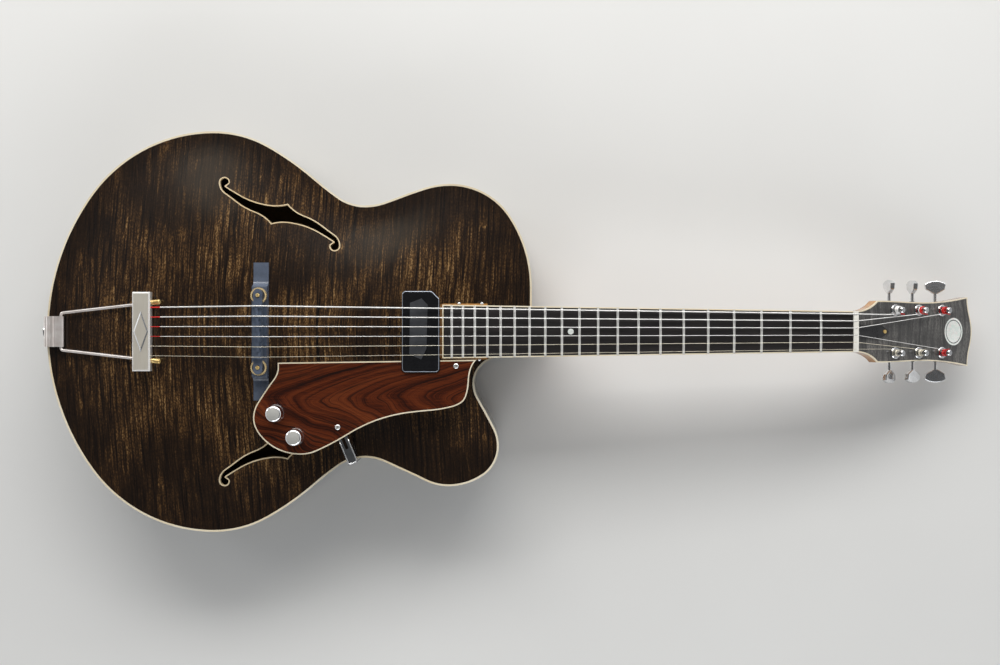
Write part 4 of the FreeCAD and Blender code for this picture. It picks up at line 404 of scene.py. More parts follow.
def headVeneer():
    material, tree, shader, place = newMaterial("headVeneer", Coat_Weight=0.8, Coat_Roughness=0.10,
                                                Specular_IOR_Level=0.35)
    flame = useGroup(tree, flameGroup, place, **veneerLook["flame"])
    paint(tree, shader, Base_Color=colourRamp(tree, flame["Figure"], veneerLook["ramp"]))
    porousSurface(tree, shader, flame["Pores"], veneerLook["rough"])
    return material


# mother of pearl; the oval on the headstock has a thin dark line let into it
pearlLook = {"milk": (0.88, 0.89, 0.86), "green": (0.70, 0.79, 0.74), "rose": (0.84, 0.76, 0.74),
             "cloud": ((260, 420, 260), 3.0, 0.6, 1.2), "veil": ((120, 90, 120), 2.0, 0.5, 2.0),
             "greenFrom": (0.40, 0.66), "roseFrom": (0.52, 0.70, 0.0, 0.7),
             "line": (0.030, 0.028, 0.028), "ovalHalf": (0.01184, 0.0155), "lineAt": 0.83, "lineHalf": 0.035,
             "lineCore": 0.0245, "rough": (0.3, 0.7, 0.16, 0.30)}


def motherOfPearl():
    material, tree, shader, place = newMaterial("motherOfPearl", Coat_Weight=0.7, Coat_Roughness=0.06)
    cloud = noise(tree, place, *pearlLook["cloud"])
    veil = noise(tree, place, *pearlLook["veil"])
    shell = blendColour(tree, remap(tree, cloud, *pearlLook["greenFrom"]), pearlLook["milk"], pearlLook["green"])
    shell = blendColour(tree, remap(tree, veil, *pearlLook["roseFrom"]), shell, pearlLook["rose"])
    x, y = splitVector(tree, place)[:2]
    alongHalf, acrossHalf = pearlLook["ovalHalf"]
    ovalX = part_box("pearl_inlays")[1].x - alongHalf   # the oval is the inlay nearest the tip
    reach = boutReach(tree, x, y, (ovalX, alongHalf, acrossHalf))
    offLine = awayFrom(tree, reach, pearlLook["lineAt"])
    line = remap(tree, offLine, pearlLook["lineCore"], pearlLook["lineHalf"], 1.0, 0.0)
    paint(tree, shader, Base_Color=blendColour(tree, line, shell, pearlLook["line"]),
          Roughness=remap(tree, cloud, *pearlLook["rough"]))
    return material


# metals: two shades under drifting smears, the range of roughness and how metallic
metalLook = {
    "nickelFret": {"pale": (0.93, 0.92, 0.89), "deep": (0.82, 0.81, 0.78), "rough": (0.14, 0.30), "metallic": 0.45,
                   "stretch": (900, 60, 900)},
    "chrome": {"pale": (0.78, 0.78, 0.79), "deep": (0.62, 0.63, 0.64), "rough": (0.05, 0.16)},
    "keyChrome": {"pale": (0.84, 0.84, 0.85), "deep": (0.66, 0.67, 0.68), "rough": (0.05, 0.14), "metallic": 0.86},
    "hingeNickel": {"pale": (0.94, 0.88, 0.85), "deep": (0.78, 0.71, 0.67), "rough": (0.16, 0.28), "metallic": 0.58},
    "satinNickel": {"pale": (0.64, 0.60, 0.52), "deep": (0.54, 0.50, 0.43), "rough": (0.34, 0.50), "metallic": 0.4,
                    "stretch": (900, 30, 900)},
    "brass": {"pale": (0.90, 0.68, 0.30), "deep": (0.74, 0.50, 0.18), "rough": (0.14, 0.30), "metallic": 0.6},
    "coilCopper": {"pale": (0.48, 0.21, 0.09), "deep": (0.34, 0.13, 0.05), "rough": (0.25, 0.45)},
    "plainSteel": {"pale": (0.50, 0.50, 0.51), "deep": (0.38, 0.38, 0.39), "rough": (0.25, 0.45)}}


def metal(name, pale, deep, rough, metallic=1.0, stretch=(500, 500, 500)):
    material, tree, shader, place = newMaterial(name, Metallic=metallic)
    marks = handledSurface(tree, shader, place, stretch, rough)
    paint(tree, shader, Base_Color=blendColour(tree, marks["Smears"], pale, deep))
    return material


# brass wheels with a bright knurled rim round a dark face
wheelLook = {"rim": (0.92, 0.70, 0.36), "darkFace": (0.070, 0.072, 0.080), "rimFrom": 0.0066, "rimFade": 0.0004,
             "stretch": (700, 700, 700), "rough": (0.16, 0.34), "lineDepth": 0.000005}


def wheelBrass():
    material, tree, shader, place = newMaterial("wheelBrass", Metallic=0.35)
    handledSurface(tree, shader, place, wheelLook["stretch"], wheelLook["rough"], wheelLook["lineDepth"])
    x, y = splitVector(tree, place)[:2]
    low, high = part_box("thumbwheel_bass")   # the other wheel is its mirror image
    u = calc(tree, "SUBTRACT", x, (low.x + high.x) / 2)
    v = calc(tree, "SUBTRACT", calc(tree, "ABSOLUTE", y), (low.y + high.y) / 2)
    rim = remap(tree, planeReach(tree, u, v), wheelLook["rimFrom"], wheelLook["rimFrom"] + wheelLook["rimFade"])
    paint(tree, shader, Base_Color=blendColour(tree, rim, wheelLook["darkFace"], wheelLook["rim"]))
    return material


# flat tops and rounded edges of one piece coloured differently: brushed or satin metal inside a polished edge; on the
# black pickup cover the pale blue-grey edge is a painted highlight
edgeLook = {
    "knobNickel": {"edge": (0.90, 0.90, 0.91), "edgeMetal": 1.0, "flat": (0.72, 0.71, 0.67), "flatMetal": 0.45,
                   "flatFrom": 0.925, "keep": 0.88, "rough": (0.06, 0.20), "stretch": (140, 900, 900)},
    "barNickel": {"edge": (0.93, 0.91, 0.88), "edgeMetal": 0.75, "flat": (0.60, 0.56, 0.48), "flatMetal": 0.35,
                  "flatFrom": 0.95, "keep": 0.88, "rough": (0.26, 0.46), "stretch": (900, 30, 900)},
    # black pickup cover: the pale blue-grey, part-metallic edge colour is a painted highlight on black plastic
    "blackSatin": {"edge": (0.30, 0.33, 0.38), "edgeMetal": 0.6, "flat": (0.0085, 0.0085, 0.0095), "flatMetal": 0.0,
                   "flatFrom": 0.955, "keep": 0.99, "rough": (0.12, 0.22), "stretch": (600, 600, 600),
                   "walls": (0.35, 0.10)}}   # its walls stay as dark as the top
edgeFade, edgeLines = 0.012, (0.3, 0.7)


def edgedFinishAndHighlight(name, look):
    material, tree, shader, place = newMaterial(name, Specular_IOR_Level=0.25)
    marks = handledSurface(tree, shader, place, look["stretch"], look["rough"])
    up = facingUp(tree)
    plain = remap(tree, up, look["flatFrom"], look["flatFrom"] + edgeFade)
    if "walls" in look:
        plain = calc(tree, "MAXIMUM", plain, remap(tree, up, *look["walls"]))
    flatShare = product(tree, plain, remap(tree, marks["Lines"], *edgeLines, look["keep"], 1.0))
    paint(tree, shader, Base_Color=blendColour(tree, flatShare, look["edge"], look["flat"]),
          Metallic=remap(tree, plain, 0.0, 1.0, look["edgeMetal"], look["flatMetal"]))
    return material


# moulded plastic with a fine stipple
plasticLook = {
    "trussBlack": {"pale": (0.010, 0.010, 0.011), "deep": (0.018, 0.018, 0.019), "rough": (0.22, 0.40)},
    "panelSatin": {"pale": (0.036, 0.038, 0.043), "deep": (0.050, 0.052, 0.058), "rough": (0.30, 0.44)}}
stipple = {"marks": (600, 600, 600), "grain": ((2200, 2200, 2200), 2.0), "depth": 0.000012, "strength": 0.5}


def satinPlastic(name, pale, deep, rough):
    material, tree, shader, place = newMaterial(name, Specular_IOR_Level=0.45, Coat_Weight=0.6, Coat_Roughness=0.06)
    marks = handledSurface(tree, shader, place, stipple["marks"], rough, depth=0)
    paint(tree, shader, Base_Color=blendColour(tree, marks["Smears"], pale, deep))
    setBump(tree, shader, noise(tree, place, *stipple["grain"]), stipple["depth"], stipple["strength"])
    return material


# strings carry two values of their own: the run along the wire and where the red silk is
silkLook = {"red": (0.74, 0.016, 0.012), "dim": (0.56, 0.010, 0.009), "rough": 0.75, "wireRough": 0.27,
            "windDepth": 0.00002, "windStrength": 0.3}
wireLook = {
    "woundWire": {"pale": (0.94, 0.93, 0.91), "deep": (0.80, 0.79, 0.77), "pitch": 0.00034, "metallic": 0.45,
                  "silk": True},
    "plainWire": {"pale": (1.0, 0.93, 0.76), "deep": (0.95, 0.87, 0.68), "pitch": 0.00020, "metallic": 0.25,
                  "silk": False}}


def stringWire(name, pale, deep, pitch, metallic, silk):
    material, tree, shader = newMaterial(name, Metallic=metallic, Roughness=silkLook["wireRough"])[:3]
    run = addNode(tree, "ShaderNodeAttribute", attribute_name="wireRun").outputs["Fac"]
    turn = calc(tree, "SINE", product(tree, run, 2 * math.pi / pitch))
    shade = remap(tree, turn, -1, 1)
    colour = blendColour(tree, shade, deep, pale)
    if silk:
        share = addNode(tree, "ShaderNodeAttribute", attribute_name="silkShare").outputs["Fac"]
        colour = blendColour(tree, share, colour, blendColour(tree, shade, silkLook["dim"], silkLook["red"]))
        paint(tree, shader, Metallic=remap(tree, share, 0.0, 1.0, metallic, 0.0),
              Roughness=remap(tree, share, 0.0, 1.0, silkLook["wireRough"], silkLook["rough"]))
    paint(tree, shader, Base_Color=colour)
    setBump(tree, shader, turn, silkLook["windDepth"], silkLook["windStrength"])
    return material


finishes = {
    "flamedTop": lacqueredMaple("flamedTop", 1.15, inside=-1),
    "flamedBack": lacqueredMaple("flamedBack", 1.0, inside=1),
    "flamedRibs": lacqueredMaple("flamedRibs", 0.95, upright=True),
    "amberMaple": amberMaple(), "archedRosewood": archedRosewood(), "headVeneer": headVeneer(),
    "motherOfPearl": motherOfPearl(), "wheelBrass": wheelBrass()}
for make, looks in ((creamBinding, bindingLook), (plainWood, woodLook), (metal, metalLook),
                    (satinPlastic, plasticLook), (stringWire, wireLook)):
    for name, look in looks.items():
        finishes[name] = make(name, **look)
for name, look in edgeLook.items():
    finishes[name] = edgedFinishAndHighlight(name, look)
print("finishes built:", len(finishes))

# which finish each CAD node wears
wears = {
    "flamedTop": ["top_plate"], "flamedBack": ["back_plate"], "flamedRibs": ["rims"],
    "creamBinding": ["body_bindings", "fretboard_binding", "headstock_binding", "pickguard_binding"],
    "agedCream": ["sound_hole_bindings"],
    "barSpruce": ["linings", "tone_bars", "end_blocks"], "amberMaple": ["neck", "pickup_plate"],
    "boardEbony": ["fretboard", "fretboard_riser", "heel_cap", "pickguard_block"],
    "bridgeEbony": ["bridge_base", "bridge_saddle"],
    "archedRosewood": ["pickguard"], "headVeneer": ["headstock_veneer"], "motherOfPearl": ["pearl_inlays"],
    "bone": ["nut"], "nickelFret": ["frets"],
    "chrome": ["tuner_housings", "tuner_bushings", "tuner_screws", "end_pin_jack", "pickguard_bracket"],
    "knobNickel": ["pickguard_screws", "volume_knob", "tone_knob"],
    "hingeNickel": ["tailpiece_hinge", "tailpiece_rod", "tailpiece_screws"],
    "satinNickel": ["potentiometers"], "barNickel": ["tailpiece_crossbar"],
    "brass": ["bridge_studs", "tailpiece_nuts", "truss_cover_screw"],
    "wheelBrass": ["thumbwheel_bass", "thumbwheel_treble"],
    "blackSatin": ["pickup_cover"], "trussBlack": ["truss_rod_cover"], "coilCopper": ["pickup_coils"],
    "plainSteel": ["truss_rod"], "woundWire": ["wound_strings"], "plainWire": ["plain_strings"]}
wears["chrome"] += [f"tuner_post_{i}" for i in range(1, 7)]
wears["keyChrome"] = [f"tuner_key_{i}" for i in range(1, 7)]
for finish, names in wears.items():
    for name in names:
        cad[name].data.materials.clear()
        cad[name].data.materials.append(finishes[finish])
print("nodes dressed, left bare:", sorted(set(cad) - {name for names in wears.values() for name in names}))


# meshes built here

def meshPiece(name, vertices, faces, material, smooth=True):
    mesh = bpy.data.meshes.new(name)
    mesh.from_pydata([tuple(v) for v in vertices], [], faces)
    mesh.validate()
    mesh.update()
    mesh.materials.append(material)
    for polygon in mesh.polygons:
        polygon.use_smooth = smooth
    piece = bpy.data.objects.new(name, mesh)
    bpy.context.scene.collection.objects.link(piece)
    return piece


def ringFaces(rings, count):   # quads between rings of equally many points
    faces = []
    for i in range(rings - 1):
        for k in range(count):
            a, b = i * count + k, i * count + (k + 1) % count
            faces.append((a, b, b + count, a + count))
    return faces


def closedFaces(rings, count):   # the same with one face at each end
    start = tuple(reversed(range(count)))
    end = tuple((rings - 1) * count + k for k in range(count))
    return ringFaces(rings, count) + [start, end]


def join(vertices, faces, points, quads):
    base = len(vertices)
    vertices += points
    faces += [tuple(base + k for k in face) for face in quads]


creaseAngle = 40.0   # degrees; a bend sharper than this stays an edge


def ringSolid(name, rings, material, smooth=True):
    vertices = [point for ring in rings for point in ring]
    piece = meshPiece(name, vertices, closedFaces(len(rings), len(rings[0])), material, smooth)
    if smooth:
        piece.data.set_sharp_from_angle(angle=math.radians(creaseAngle))
    return piece


# the neck leans back from the joint and the headstock leans back again behind the nut
neckRun = {"scale": 0.635, "jointFret": 14, "pastFret": 0.003, "height": 0.1156, "pitch": 3.6,
           "nutThick": 0.0055, "headStep": 0.0035, "headPitch": 17.0}
nutRun = neckRun["scale"] * (1 - 2 ** (-neckRun["jointFret"] / 12)) - neckRun["pastFret"]
neckPlace = Matrix.Translation((jointX, 0, neckRun["height"]))
neckPlace = neckPlace @ Matrix.Rotation(math.radians(neckRun["pitch"]), 4, "Y")
headPlace = neckPlace @ Matrix.Translation((nutRun + neckRun["nutThick"], 0, -neckRun["headStep"]))
headPlace = headPlace @ Matrix.Rotation(math.radians(neckRun["headPitch"]), 4, "Y")

# the neck blank: heel, half-oval shaft and volute in one sweep, then the headstock behind its veneer
neckShape = {
    "boardThick": 0.006, "nutHalf": 0.02225, "depthHeel": 0.0185, "depthNut": 0.0150, "heelLength": 0.085,
    "heelDrop": 0.1126, "heelMiddle": 0.455, "heelEase": 0.10, "step": 0.0025, "sides": 44, "volute": 0.0216,
    "flare": 0.0020, "voluteSteps": 10, "gap": 0.0001, "veneer": 0.0020, "headThick": 0.0130, "headFrom": 0.0009,
    "edgeRays": 150, "tipRays": 40, "rayFrom": 1.0, "neckPart": 0.02, "cornerShare": 0.6, "backBevel": 0.0008,
    "backShare": 0.985}


def boardHalf(run):
    low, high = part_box("fretboard_binding")
    tailRun = (low.x - jointX) / math.cos(math.radians(neckRun["pitch"]))
    return neckShape["nutHalf"] + (high.y - neckShape["nutHalf"]) * (nutRun - run) / (nutRun - tailRun)


def neckDepth(run):
    heel = neckShape["heelLength"]
    share = min(max((run - heel) / (nutRun - heel), 0.0), 1.0)
    shaft = neckShape["depthHeel"] + (neckShape["depthNut"] - neckShape["depthHeel"]) * share
    beyond = (run / heel - neckShape["heelMiddle"]) / neckShape["heelEase"]
    return shaft + neckShape["heelDrop"] / (1 + math.exp(beyond))


def halfOval(place, half, depth):
    points = []
    for k in range(neckShape["sides"] + 1):
        angle = math.pi * k / neckShape["sides"]
        points.append(place @ Vector((0, -half * math.cos(angle), -depth * math.sin(angle))))
    return points


def neckRings():
    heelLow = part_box("heel_cap")[1].z + neckShape["gap"]
    end = nutRun + neckRun["nutThick"]
    count = int(end / neckShape["step"])
    rings = []
    for i in range(count + 1):
        run = end * i / count
        place = neckPlace @ Matrix.Translation((run, 0, -neckShape["boardThick"]))
        ring = halfOval(place, boardHalf(min(run, nutRun)), neckDepth(run))
        rings.append([Vector((max(p.x, jointX + neckShape["gap"]), p.y, max(p.z, heelLow))) for p in ring])
    last = halfOval(headPlace @ Matrix.Translation((neckShape["volute"], 0, -neckShape["veneer"])),
                    neckShape["nutHalf"] + neckShape["flare"], neckShape["headThick"])
    neckWay = neckPlace.to_3x3() @ Vector((1, 0, 0))
    headWay = headPlace.to_3x3() @ Vector((1, 0, 0))
    steps = neckShape["voluteSteps"]
    runs = [bezierPoints(a, neckWay, b, headWay, steps) for a, b in zip(rings[-1], last)]
    return rings + [[points[k] for points in runs] for k in range(1, steps + 1)]


def headEdge(along, side, way):   # where a ray meets the outer face of the binding, seen from the headstock
    start = headPoint(along, side, -neckShape["veneer"] / 2)
    found, place = cad["headstock_binding"].ray_cast(start, headPlace.to_3x3() @ Vector(way))[:2]
    return found, headPlace.inverted() @ place


def headOutline():
    far = neckShape["rayFrom"]
    tip = headEdge(far, 0, (-1, 0, 0))[1].x
    outline = []
    for k in range(neckShape["edgeRays"]):
        along = neckShape["headFrom"] + (tip - neckShape["headFrom"]) * k / neckShape["edgeRays"]
        found, place = headEdge(along, far, (0, -1, 0))
        if found and place.y > neckShape["nutHalf"] / 2:
            outline.append((along, place.y))
    least = neckShape["cornerShare"] * max(side for along, side in outline)
    outline = [(along, side) for along, side in outline if along < neckShape["neckPart"] or side > least]
    for k in range(1, neckShape["tipRays"]):
        side = outline[-1][1] * (1 - k / neckShape["tipRays"])   # each ray nearer the middle than the last
        found, place = headEdge(far, side, (-1, 0, 0))
        if found:
            outline.append((place.x, side))
    return outline + [(tip, 0.0)] + [(along, -side) for along, side in reversed(outline)]


def headRings():
    outline = headOutline()
    middle = sum(along for along, side in outline) / len(outline)
    top = -neckShape["veneer"] - neckShape["gap"] / 2
    back = -neckShape["veneer"] - neckShape["headThick"]
    rings = []
    for share, height in ((1.0, top), (1.0, back + neckShape["backBevel"]), (neckShape["backShare"], back)):
        rings.append([headPoint(middle + (along - middle) * share, side * share, height)
                      for along, side in outline])
    return rings


# strings: three lengths each, the playing length from just past the saddle to the post, and the tail length in a near
# and a far part
stringLook = {
    "gauges": (0.00132, 0.00107, 0.00081, 0.00061, 0.00041, 0.00030), "sides": 10,
    "setBack": (0.0044, 0.0036, 0.0026, 0.0016, 0.0028, 0.0014), "crown": 0.305, "fretHeight": 0.0011,
    "nutSpread": 0.0382, "overNut": 0.0005, "saddleSpread": 0.0536, "action": 0.0045,
    "tailSpread": 0.0510, "tailSeat": 0.00495, "postAlong": (0.0505, 0.0825, 0.1145),
    "postOffset": 0.0236, "postRadius": 0.0030, "postClear": 0.00025, "turnLow": 0.0032, "turnGap": 0.0005,
    "turns": 3, "perTurn": 24, "lead": 0.009, "leadSteps": 10, "stub": 0.005, "pastSaddle": 0.006, "middleShare": 0.5,
    "stepPlaying": 0.012, "stepHead": 0.006, "stepSaddle": 0.004, "stepNear": 0.003, "stepFine": 0.001,
    "bendReach": 0.002, "ballRadius": 0.0019, "ballLength": 0.0034, "ballSides": 20,
    "ballShape": ((-1.0, 0.78), (-0.82, 0.95), (-0.5, 1.0), (0.0, 0.92), (0.5, 1.0), (0.82, 0.95), (1.0, 0.78)),
    "silkTail": (0.0092, 0.0204), "silkHead": (0.0055, 0.040, 0.075, 0.072)}   # silk left at each end
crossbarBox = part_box("tailpiece_crossbar")
tailX = (crossbarBox[0].x + crossbarBox[1].x) / 2
tailZ = crossbarBox[0].z + stringLook["tailSeat"]
lastString = len(stringLook["gauges"]) - 1


def stringSide(index, spread):
    return spread * (0.5 - index / lastString)


def wirePoint(index, run, spread, clear):
    y = stringSide(index, spread)
    fall = stringLook["crown"] - math.sqrt(stringLook["crown"] ** 2 - y * y)
    height = stringLook["fretHeight"] + clear + stringLook["gauges"][index] / 2 - fall
    return neckPlace @ Vector((run, y, height))


def nutPoint(index):
    return wirePoint(index, nutRun + neckRun["nutThick"] / 2, stringLook["nutSpread"], stringLook["overNut"])


def saddlePoint(index):
    run = nutRun - neckRun["scale"] - stringLook["setBack"][index]
    return wirePoint(index, run, stringLook["saddleSpread"], stringLook["action"])


def tailPoint(index):
    return Vector((tailX, stringSide(index, stringLook["tailSpread"]), tailZ))


def headPoint(along, side, up):
    return headPlace @ Vector((along, side, up))


def postOf(index):
    if index < len(stringLook["postAlong"]):   # the bass side of the headstock
        return stringLook["postAlong"][index], 1
    return stringLook["postAlong"][lastString - index], -1


def windingPoints(index):
    along, side = postOf(index)
    gauge, perTurn = stringLook["gauges"][index], stringLook["perTurn"]
    radius = stringLook["postRadius"] + stringLook["postClear"] + gauge / 2
    low = stringLook["turnLow"] + gauge / 2
    points = []
    for step in range(stringLook["turns"] * perTurn + 1):
        angle = side * (2 * math.pi * step / perTurn - math.pi / 2)
        points.append(headPoint(along + radius * math.cos(angle),
                                side * stringLook["postOffset"] + radius * math.sin(angle),
                                low + (gauge + stringLook["turnGap"]) * step / perTurn))
    return points


def straightPoints(start, end, step):
    count = max(2, int((end - start).length / step))
    return [start.lerp(end, i / count) for i in range(count + 1)]


curveLook = {"pull": 0.36, "bendSteps": 4}


def bezierPoints(start, startWay, end, endWay, count):
    pull = (end - start).length * curveLook["pull"]
    a, b = start + startWay * pull, end - endWay * pull
    points = []
    for i in range(count + 1):
        t = i / count
        points.append(start * (1 - t) ** 3 + a * 3 * t * (1 - t) ** 2 + b * 3 * t * t * (1 - t) + end * t ** 3)
    return points


def bendPoints(before, corner, after, reach):
    wayIn = (corner - before).normalized()
    wayOut = (after - corner).normalized()
    return bezierPoints(corner - wayIn * reach, wayIn, corner + wayOut * reach, wayOut, curveLook["bendSteps"])


def sweep(path, radii, sides):
    vertices = []
    tangents = [(path[min(i + 1, len(path) - 1)] - path[max(i - 1, 0)]).normalized() for i in range(len(path))]
    outward = tangents[0].orthogonal().normalized()
    for place, way, radius in zip(path, tangents, radii):
        outward = (outward - way * outward.dot(way)).normalized()
        other = way.cross(outward)
        for k in range(sides):
            angle = 2 * math.pi * k / sides
            vertices.append(place + (outward * math.cos(angle) + other * math.sin(angle)) * radius)
    return vertices, closedFaces(len(path), sides)


def silkOn(index, place, run, total):
    if index >= len(stringLook["silkHead"]):   # plain strings have none
        return 0.0
    low, high = stringLook["silkTail"]
    if low < place.x - tailX < high:
        return 1.0
    return 1.0 if place.x > headPlace.translation.x and total - run < stringLook["silkHead"][index] else 0.0


def stringPaths(index):
    nut, saddle, tail = nutPoint(index), saddlePoint(index), tailPoint(index)
    turns = windingPoints(index)
    firstWay = (turns[1] - turns[0]).normalized()
    approach = turns[0] - firstWay * stringLook["lead"]
    runWay = (approach - nut).normalized()
    ease = approach - runWay * stringLook["lead"]
    lastWay = (turns[-1] - turns[-2]).normalized()
    split = saddle + (tail - saddle).normalized() * stringLook["pastSaddle"]
    middle = split.lerp(tail, stringLook["middleShare"])
    overSaddle = bendPoints(tail, saddle, nut, stringLook["bendReach"])
    overNut = bendPoints(saddle, nut, ease, stringLook["bendReach"])
    playing = straightPoints(split, overSaddle[0], stringLook["stepSaddle"])[:-1] + overSaddle
    playing += straightPoints(overSaddle[-1], overNut[0], stringLook["stepPlaying"])[1:-1] + overNut
    playing += straightPoints(overNut[-1], ease, stringLook["stepHead"])[1:]
    playing += bezierPoints(ease, runWay, turns[0], firstWay, stringLook["leadSteps"])[1:] + turns[1:]
    playing += straightPoints(turns[-1], turns[-1] + lastWay * stringLook["stub"], stringLook["stepFine"])[1:]
    near = straightPoints(middle, split, stringLook["stepNear"])
    far = straightPoints(tail, middle, stringLook["stepFine"])
    return {"playing": playing, "near": near, "far": far}


def ballEnd(index):
    middle = tailPoint(index)
    half, radius = stringLook["ballLength"] / 2, stringLook["ballRadius"]
    path = [middle + Vector((0, share * half, 0)) for share, reach in stringLook["ballShape"]]
    return sweep(path, [radius * reach for share, reach in stringLook["ballShape"]], stringLook["ballSides"])


def buildStrings(kind, indices, node, finish):
    parts = {}
    for part in ("playing", "near", "far"):
        vertices, faces, runs, silks = [], [], [], []
        for index in indices:
            path = stringPaths(index)[part]
            walked = [0.0]
            for a, b in zip(path, path[1:]):
                walked.append(walked[-1] + (b - a).length)
            sides = stringLook["sides"]
            join(vertices, faces, *sweep(path, [stringLook["gauges"][index] / 2] * len(path), sides))
            runs += [r for r in walked for k in range(sides)]
            silks += [silkOn(index, p, r, walked[-1]) for p, r in zip(path, walked) for k in range(sides)]
            if part == "far":
                points, quads = ballEnd(index)
                join(vertices, faces, points, quads)
                runs += [0.0] * len(points)
                silks += [0.0] * len(points)
        piece = meshPiece(f"{kind}{part.capitalize()}Length", vertices, faces, finish)
        for label, values in (("wireRun", runs), ("silkShare", silks)):
            attribute = piece.data.attributes.new(label, "FLOAT", "POINT")
            attribute.data.foreach_set("value", values)
        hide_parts(node)
        parts[part] = piece
    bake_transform(parts["playing"])
    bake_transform(parts["near"])
    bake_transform(parts["far"])


for name, rings in (("neckShaft", neckRings()), ("headCore", headRings())):
    blank = ringSolid(name, rings, finishes["amberMaple"])
    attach(blank, "guitar")
    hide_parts("neck")
print("neck blank built")

buildStrings("wound", (0, 1, 2, 3), "wound_strings", finishes["woundWire"])
buildStrings("plain", (4, 5), "plain_strings", finishes["plainWire"])
print("strings built")


def lathe(name, profile, place, material, segments=96):   # the profile starts and ends on the axis
    vertices = []
    for radius, height in profile[1:-1]:
        for k in range(segments):
            angle = 2 * math.pi * k / segments
            vertices.append((place[0] + radius * math.cos(angle), place[1] + radius * math.sin(angle),
                             place[2] + height))
    rings = len(profile) - 2
    faces = ringFaces(rings, segments)
    low, high = len(vertices), len(vertices) + 1
    vertices.append((place[0], place[1], place[2] + profile[0][1]))
    vertices.append((place[0], place[1], place[2] + profile[-1][1]))
    last = (rings - 1) * segments
    for k in range(segments):
        faces.append((low, (k + 1) % segments, k))
        faces.append((high, last + k, last + (k + 1) % segments))
    return meshPiece(name, vertices, faces, material)


# the two control knobs: spindle, skirt, straight wall, rolled shoulder and a shallow dome
knobLook = {
    "wall": 0.0086, "skirt": 0.0092, "low": 0.0040, "top": 0.0200, "shoulder": 0.0028, "dome": 0.0009,
    "spindle": 0.0024, "spindleLow": -0.001, "wallEnd": 0.0004, "shoulderSteps": 9, "domeShares": (0.8, 0.6, 0.4, 0.2),
    "skirtSteps": ((-0.0012, 0.0), (-0.0004, 0.0003), (0.0, 0.0010), (0.0, 0.0022)),
    "wallSteps": ((0.0002, 0.0027), (0.0, 0.0032), (0.0, 0.0060))}


def knobProfile():
    low, top, wall, skirt = knobLook["low"], knobLook["top"], knobLook["wall"], knobLook["skirt"]
    shoulder, spindle, floor = knobLook["shoulder"], knobLook["spindle"], knobLook["spindleLow"]
    edge = top - knobLook["dome"] - shoulder
    profile = [(0, floor), (spindle, floor), (spindle, low)]
    profile += [(skirt + out, low + up) for out, up in knobLook["skirtSteps"]]
    profile += [(wall + out, low + up) for out, up in knobLook["wallSteps"]]
    profile.append((wall, edge - knobLook["wallEnd"]))
    for step in range(1, knobLook["shoulderSteps"]):
        angle = math.radians(90 * step / knobLook["shoulderSteps"])
        profile.append((wall - shoulder * (1 - math.cos(angle)), edge + shoulder * math.sin(angle)))
    for share in knobLook["domeShares"]:
        profile.append(((wall - shoulder) * share, top - knobLook["dome"] * share * share))
    return profile + [(0, top)]


for knob in ("volume_knob", "tone_knob"):
    low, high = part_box(knob)
    seat = ((low.x + high.x) / 2, (low.y + high.y) / 2, high.z - knobLook["top"])
    piece = lathe(knob.replace("_knob", "KnobCap"), knobProfile(), seat, finishes["knobNickel"])
    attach(piece, knob)
    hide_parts(knob)
print("knobs built")

# satin panel let into the top of the pickup cover; corners are measured from the middle of the cover
panelLook = {"corners": ((0.00097, 0.0352), (-0.01123, 0.0305), (-0.01193, -0.0240), (0.00077, -0.0297),
                         (0.00627, -0.0183), (0.00757, 0.0286)),
             "thick": 0.00088, "stand": 0.00008, "edge": 0.00025}


def pickupPanel():
    coverLow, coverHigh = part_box("pickup_cover")
    middleX = (coverLow.x + coverHigh.x) / 2
    high = coverHigh.z + panelLook["stand"]
    corners = [Vector((middleX + x, y, 0)) for x, y in panelLook["corners"]]
    centre = sum(corners, Vector()) / len(corners)
    inner = [corner + (centre - corner).normalized() * panelLook["edge"] for corner in corners]
    levels = ((corners, high - panelLook["thick"]), (corners, high - panelLook["edge"]), (inner, high))
    rings = [[(place.x, place.y, height) for place in places] for places, height in levels]
    return ringSolid("pickupPanel", rings, finishes["panelSatin"], smooth=False)


panel = pickupPanel()
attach(panel, "guitar")
print("pickup panel built")

# bevel round the raised diamond on the tailpiece crossbar
diamondLook = {"acrossHalf": 0.0065, "alongHalf": 0.01825, "height": 0.0008, "skirt": 0.0013}


def diamondBevel():
    high = crossbarBox[1].z
    low = high - diamondLook["height"]
    acrossHalf, alongHalf = diamondLook["acrossHalf"], diamondLook["alongHalf"]
    grow = 1 + diamondLook["skirt"] * math.hypot(acrossHalf, alongHalf) / (acrossHalf * alongHalf)
    vertices = []
    for share, height in ((grow, low), (1.0, high), (1.0, low)):
        for u, v in ((1, 0), (0, 1), (-1, 0), (0, -1)):
            vertices.append((tailX + u * acrossHalf * share, v * alongHalf * share, height))
    faces = ringFaces(3, 4)   # three rings of four corners
    faces += [(k + 8, (k + 1) % 4 + 8, (k + 1) % 4, k) for k in range(4)]   # underside
    return meshPiece("diamondBevel", vertices, faces, finishes["keyChrome"], smooth=False)


bevel = diamondBevel()
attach(bevel, "tailpiece")

# the hinge plate is pressed into two ridges beside its barrel
hingeLook = {"ridges": ((0.0046, 0.0027, 0.0013), (0.0115, 0.0027, 0.0012)), "from": 0.0012, "to": 0.0150,
             "sink": 0.0004, "stand": 0.00004, "half": 0.0163, "steps": 64}


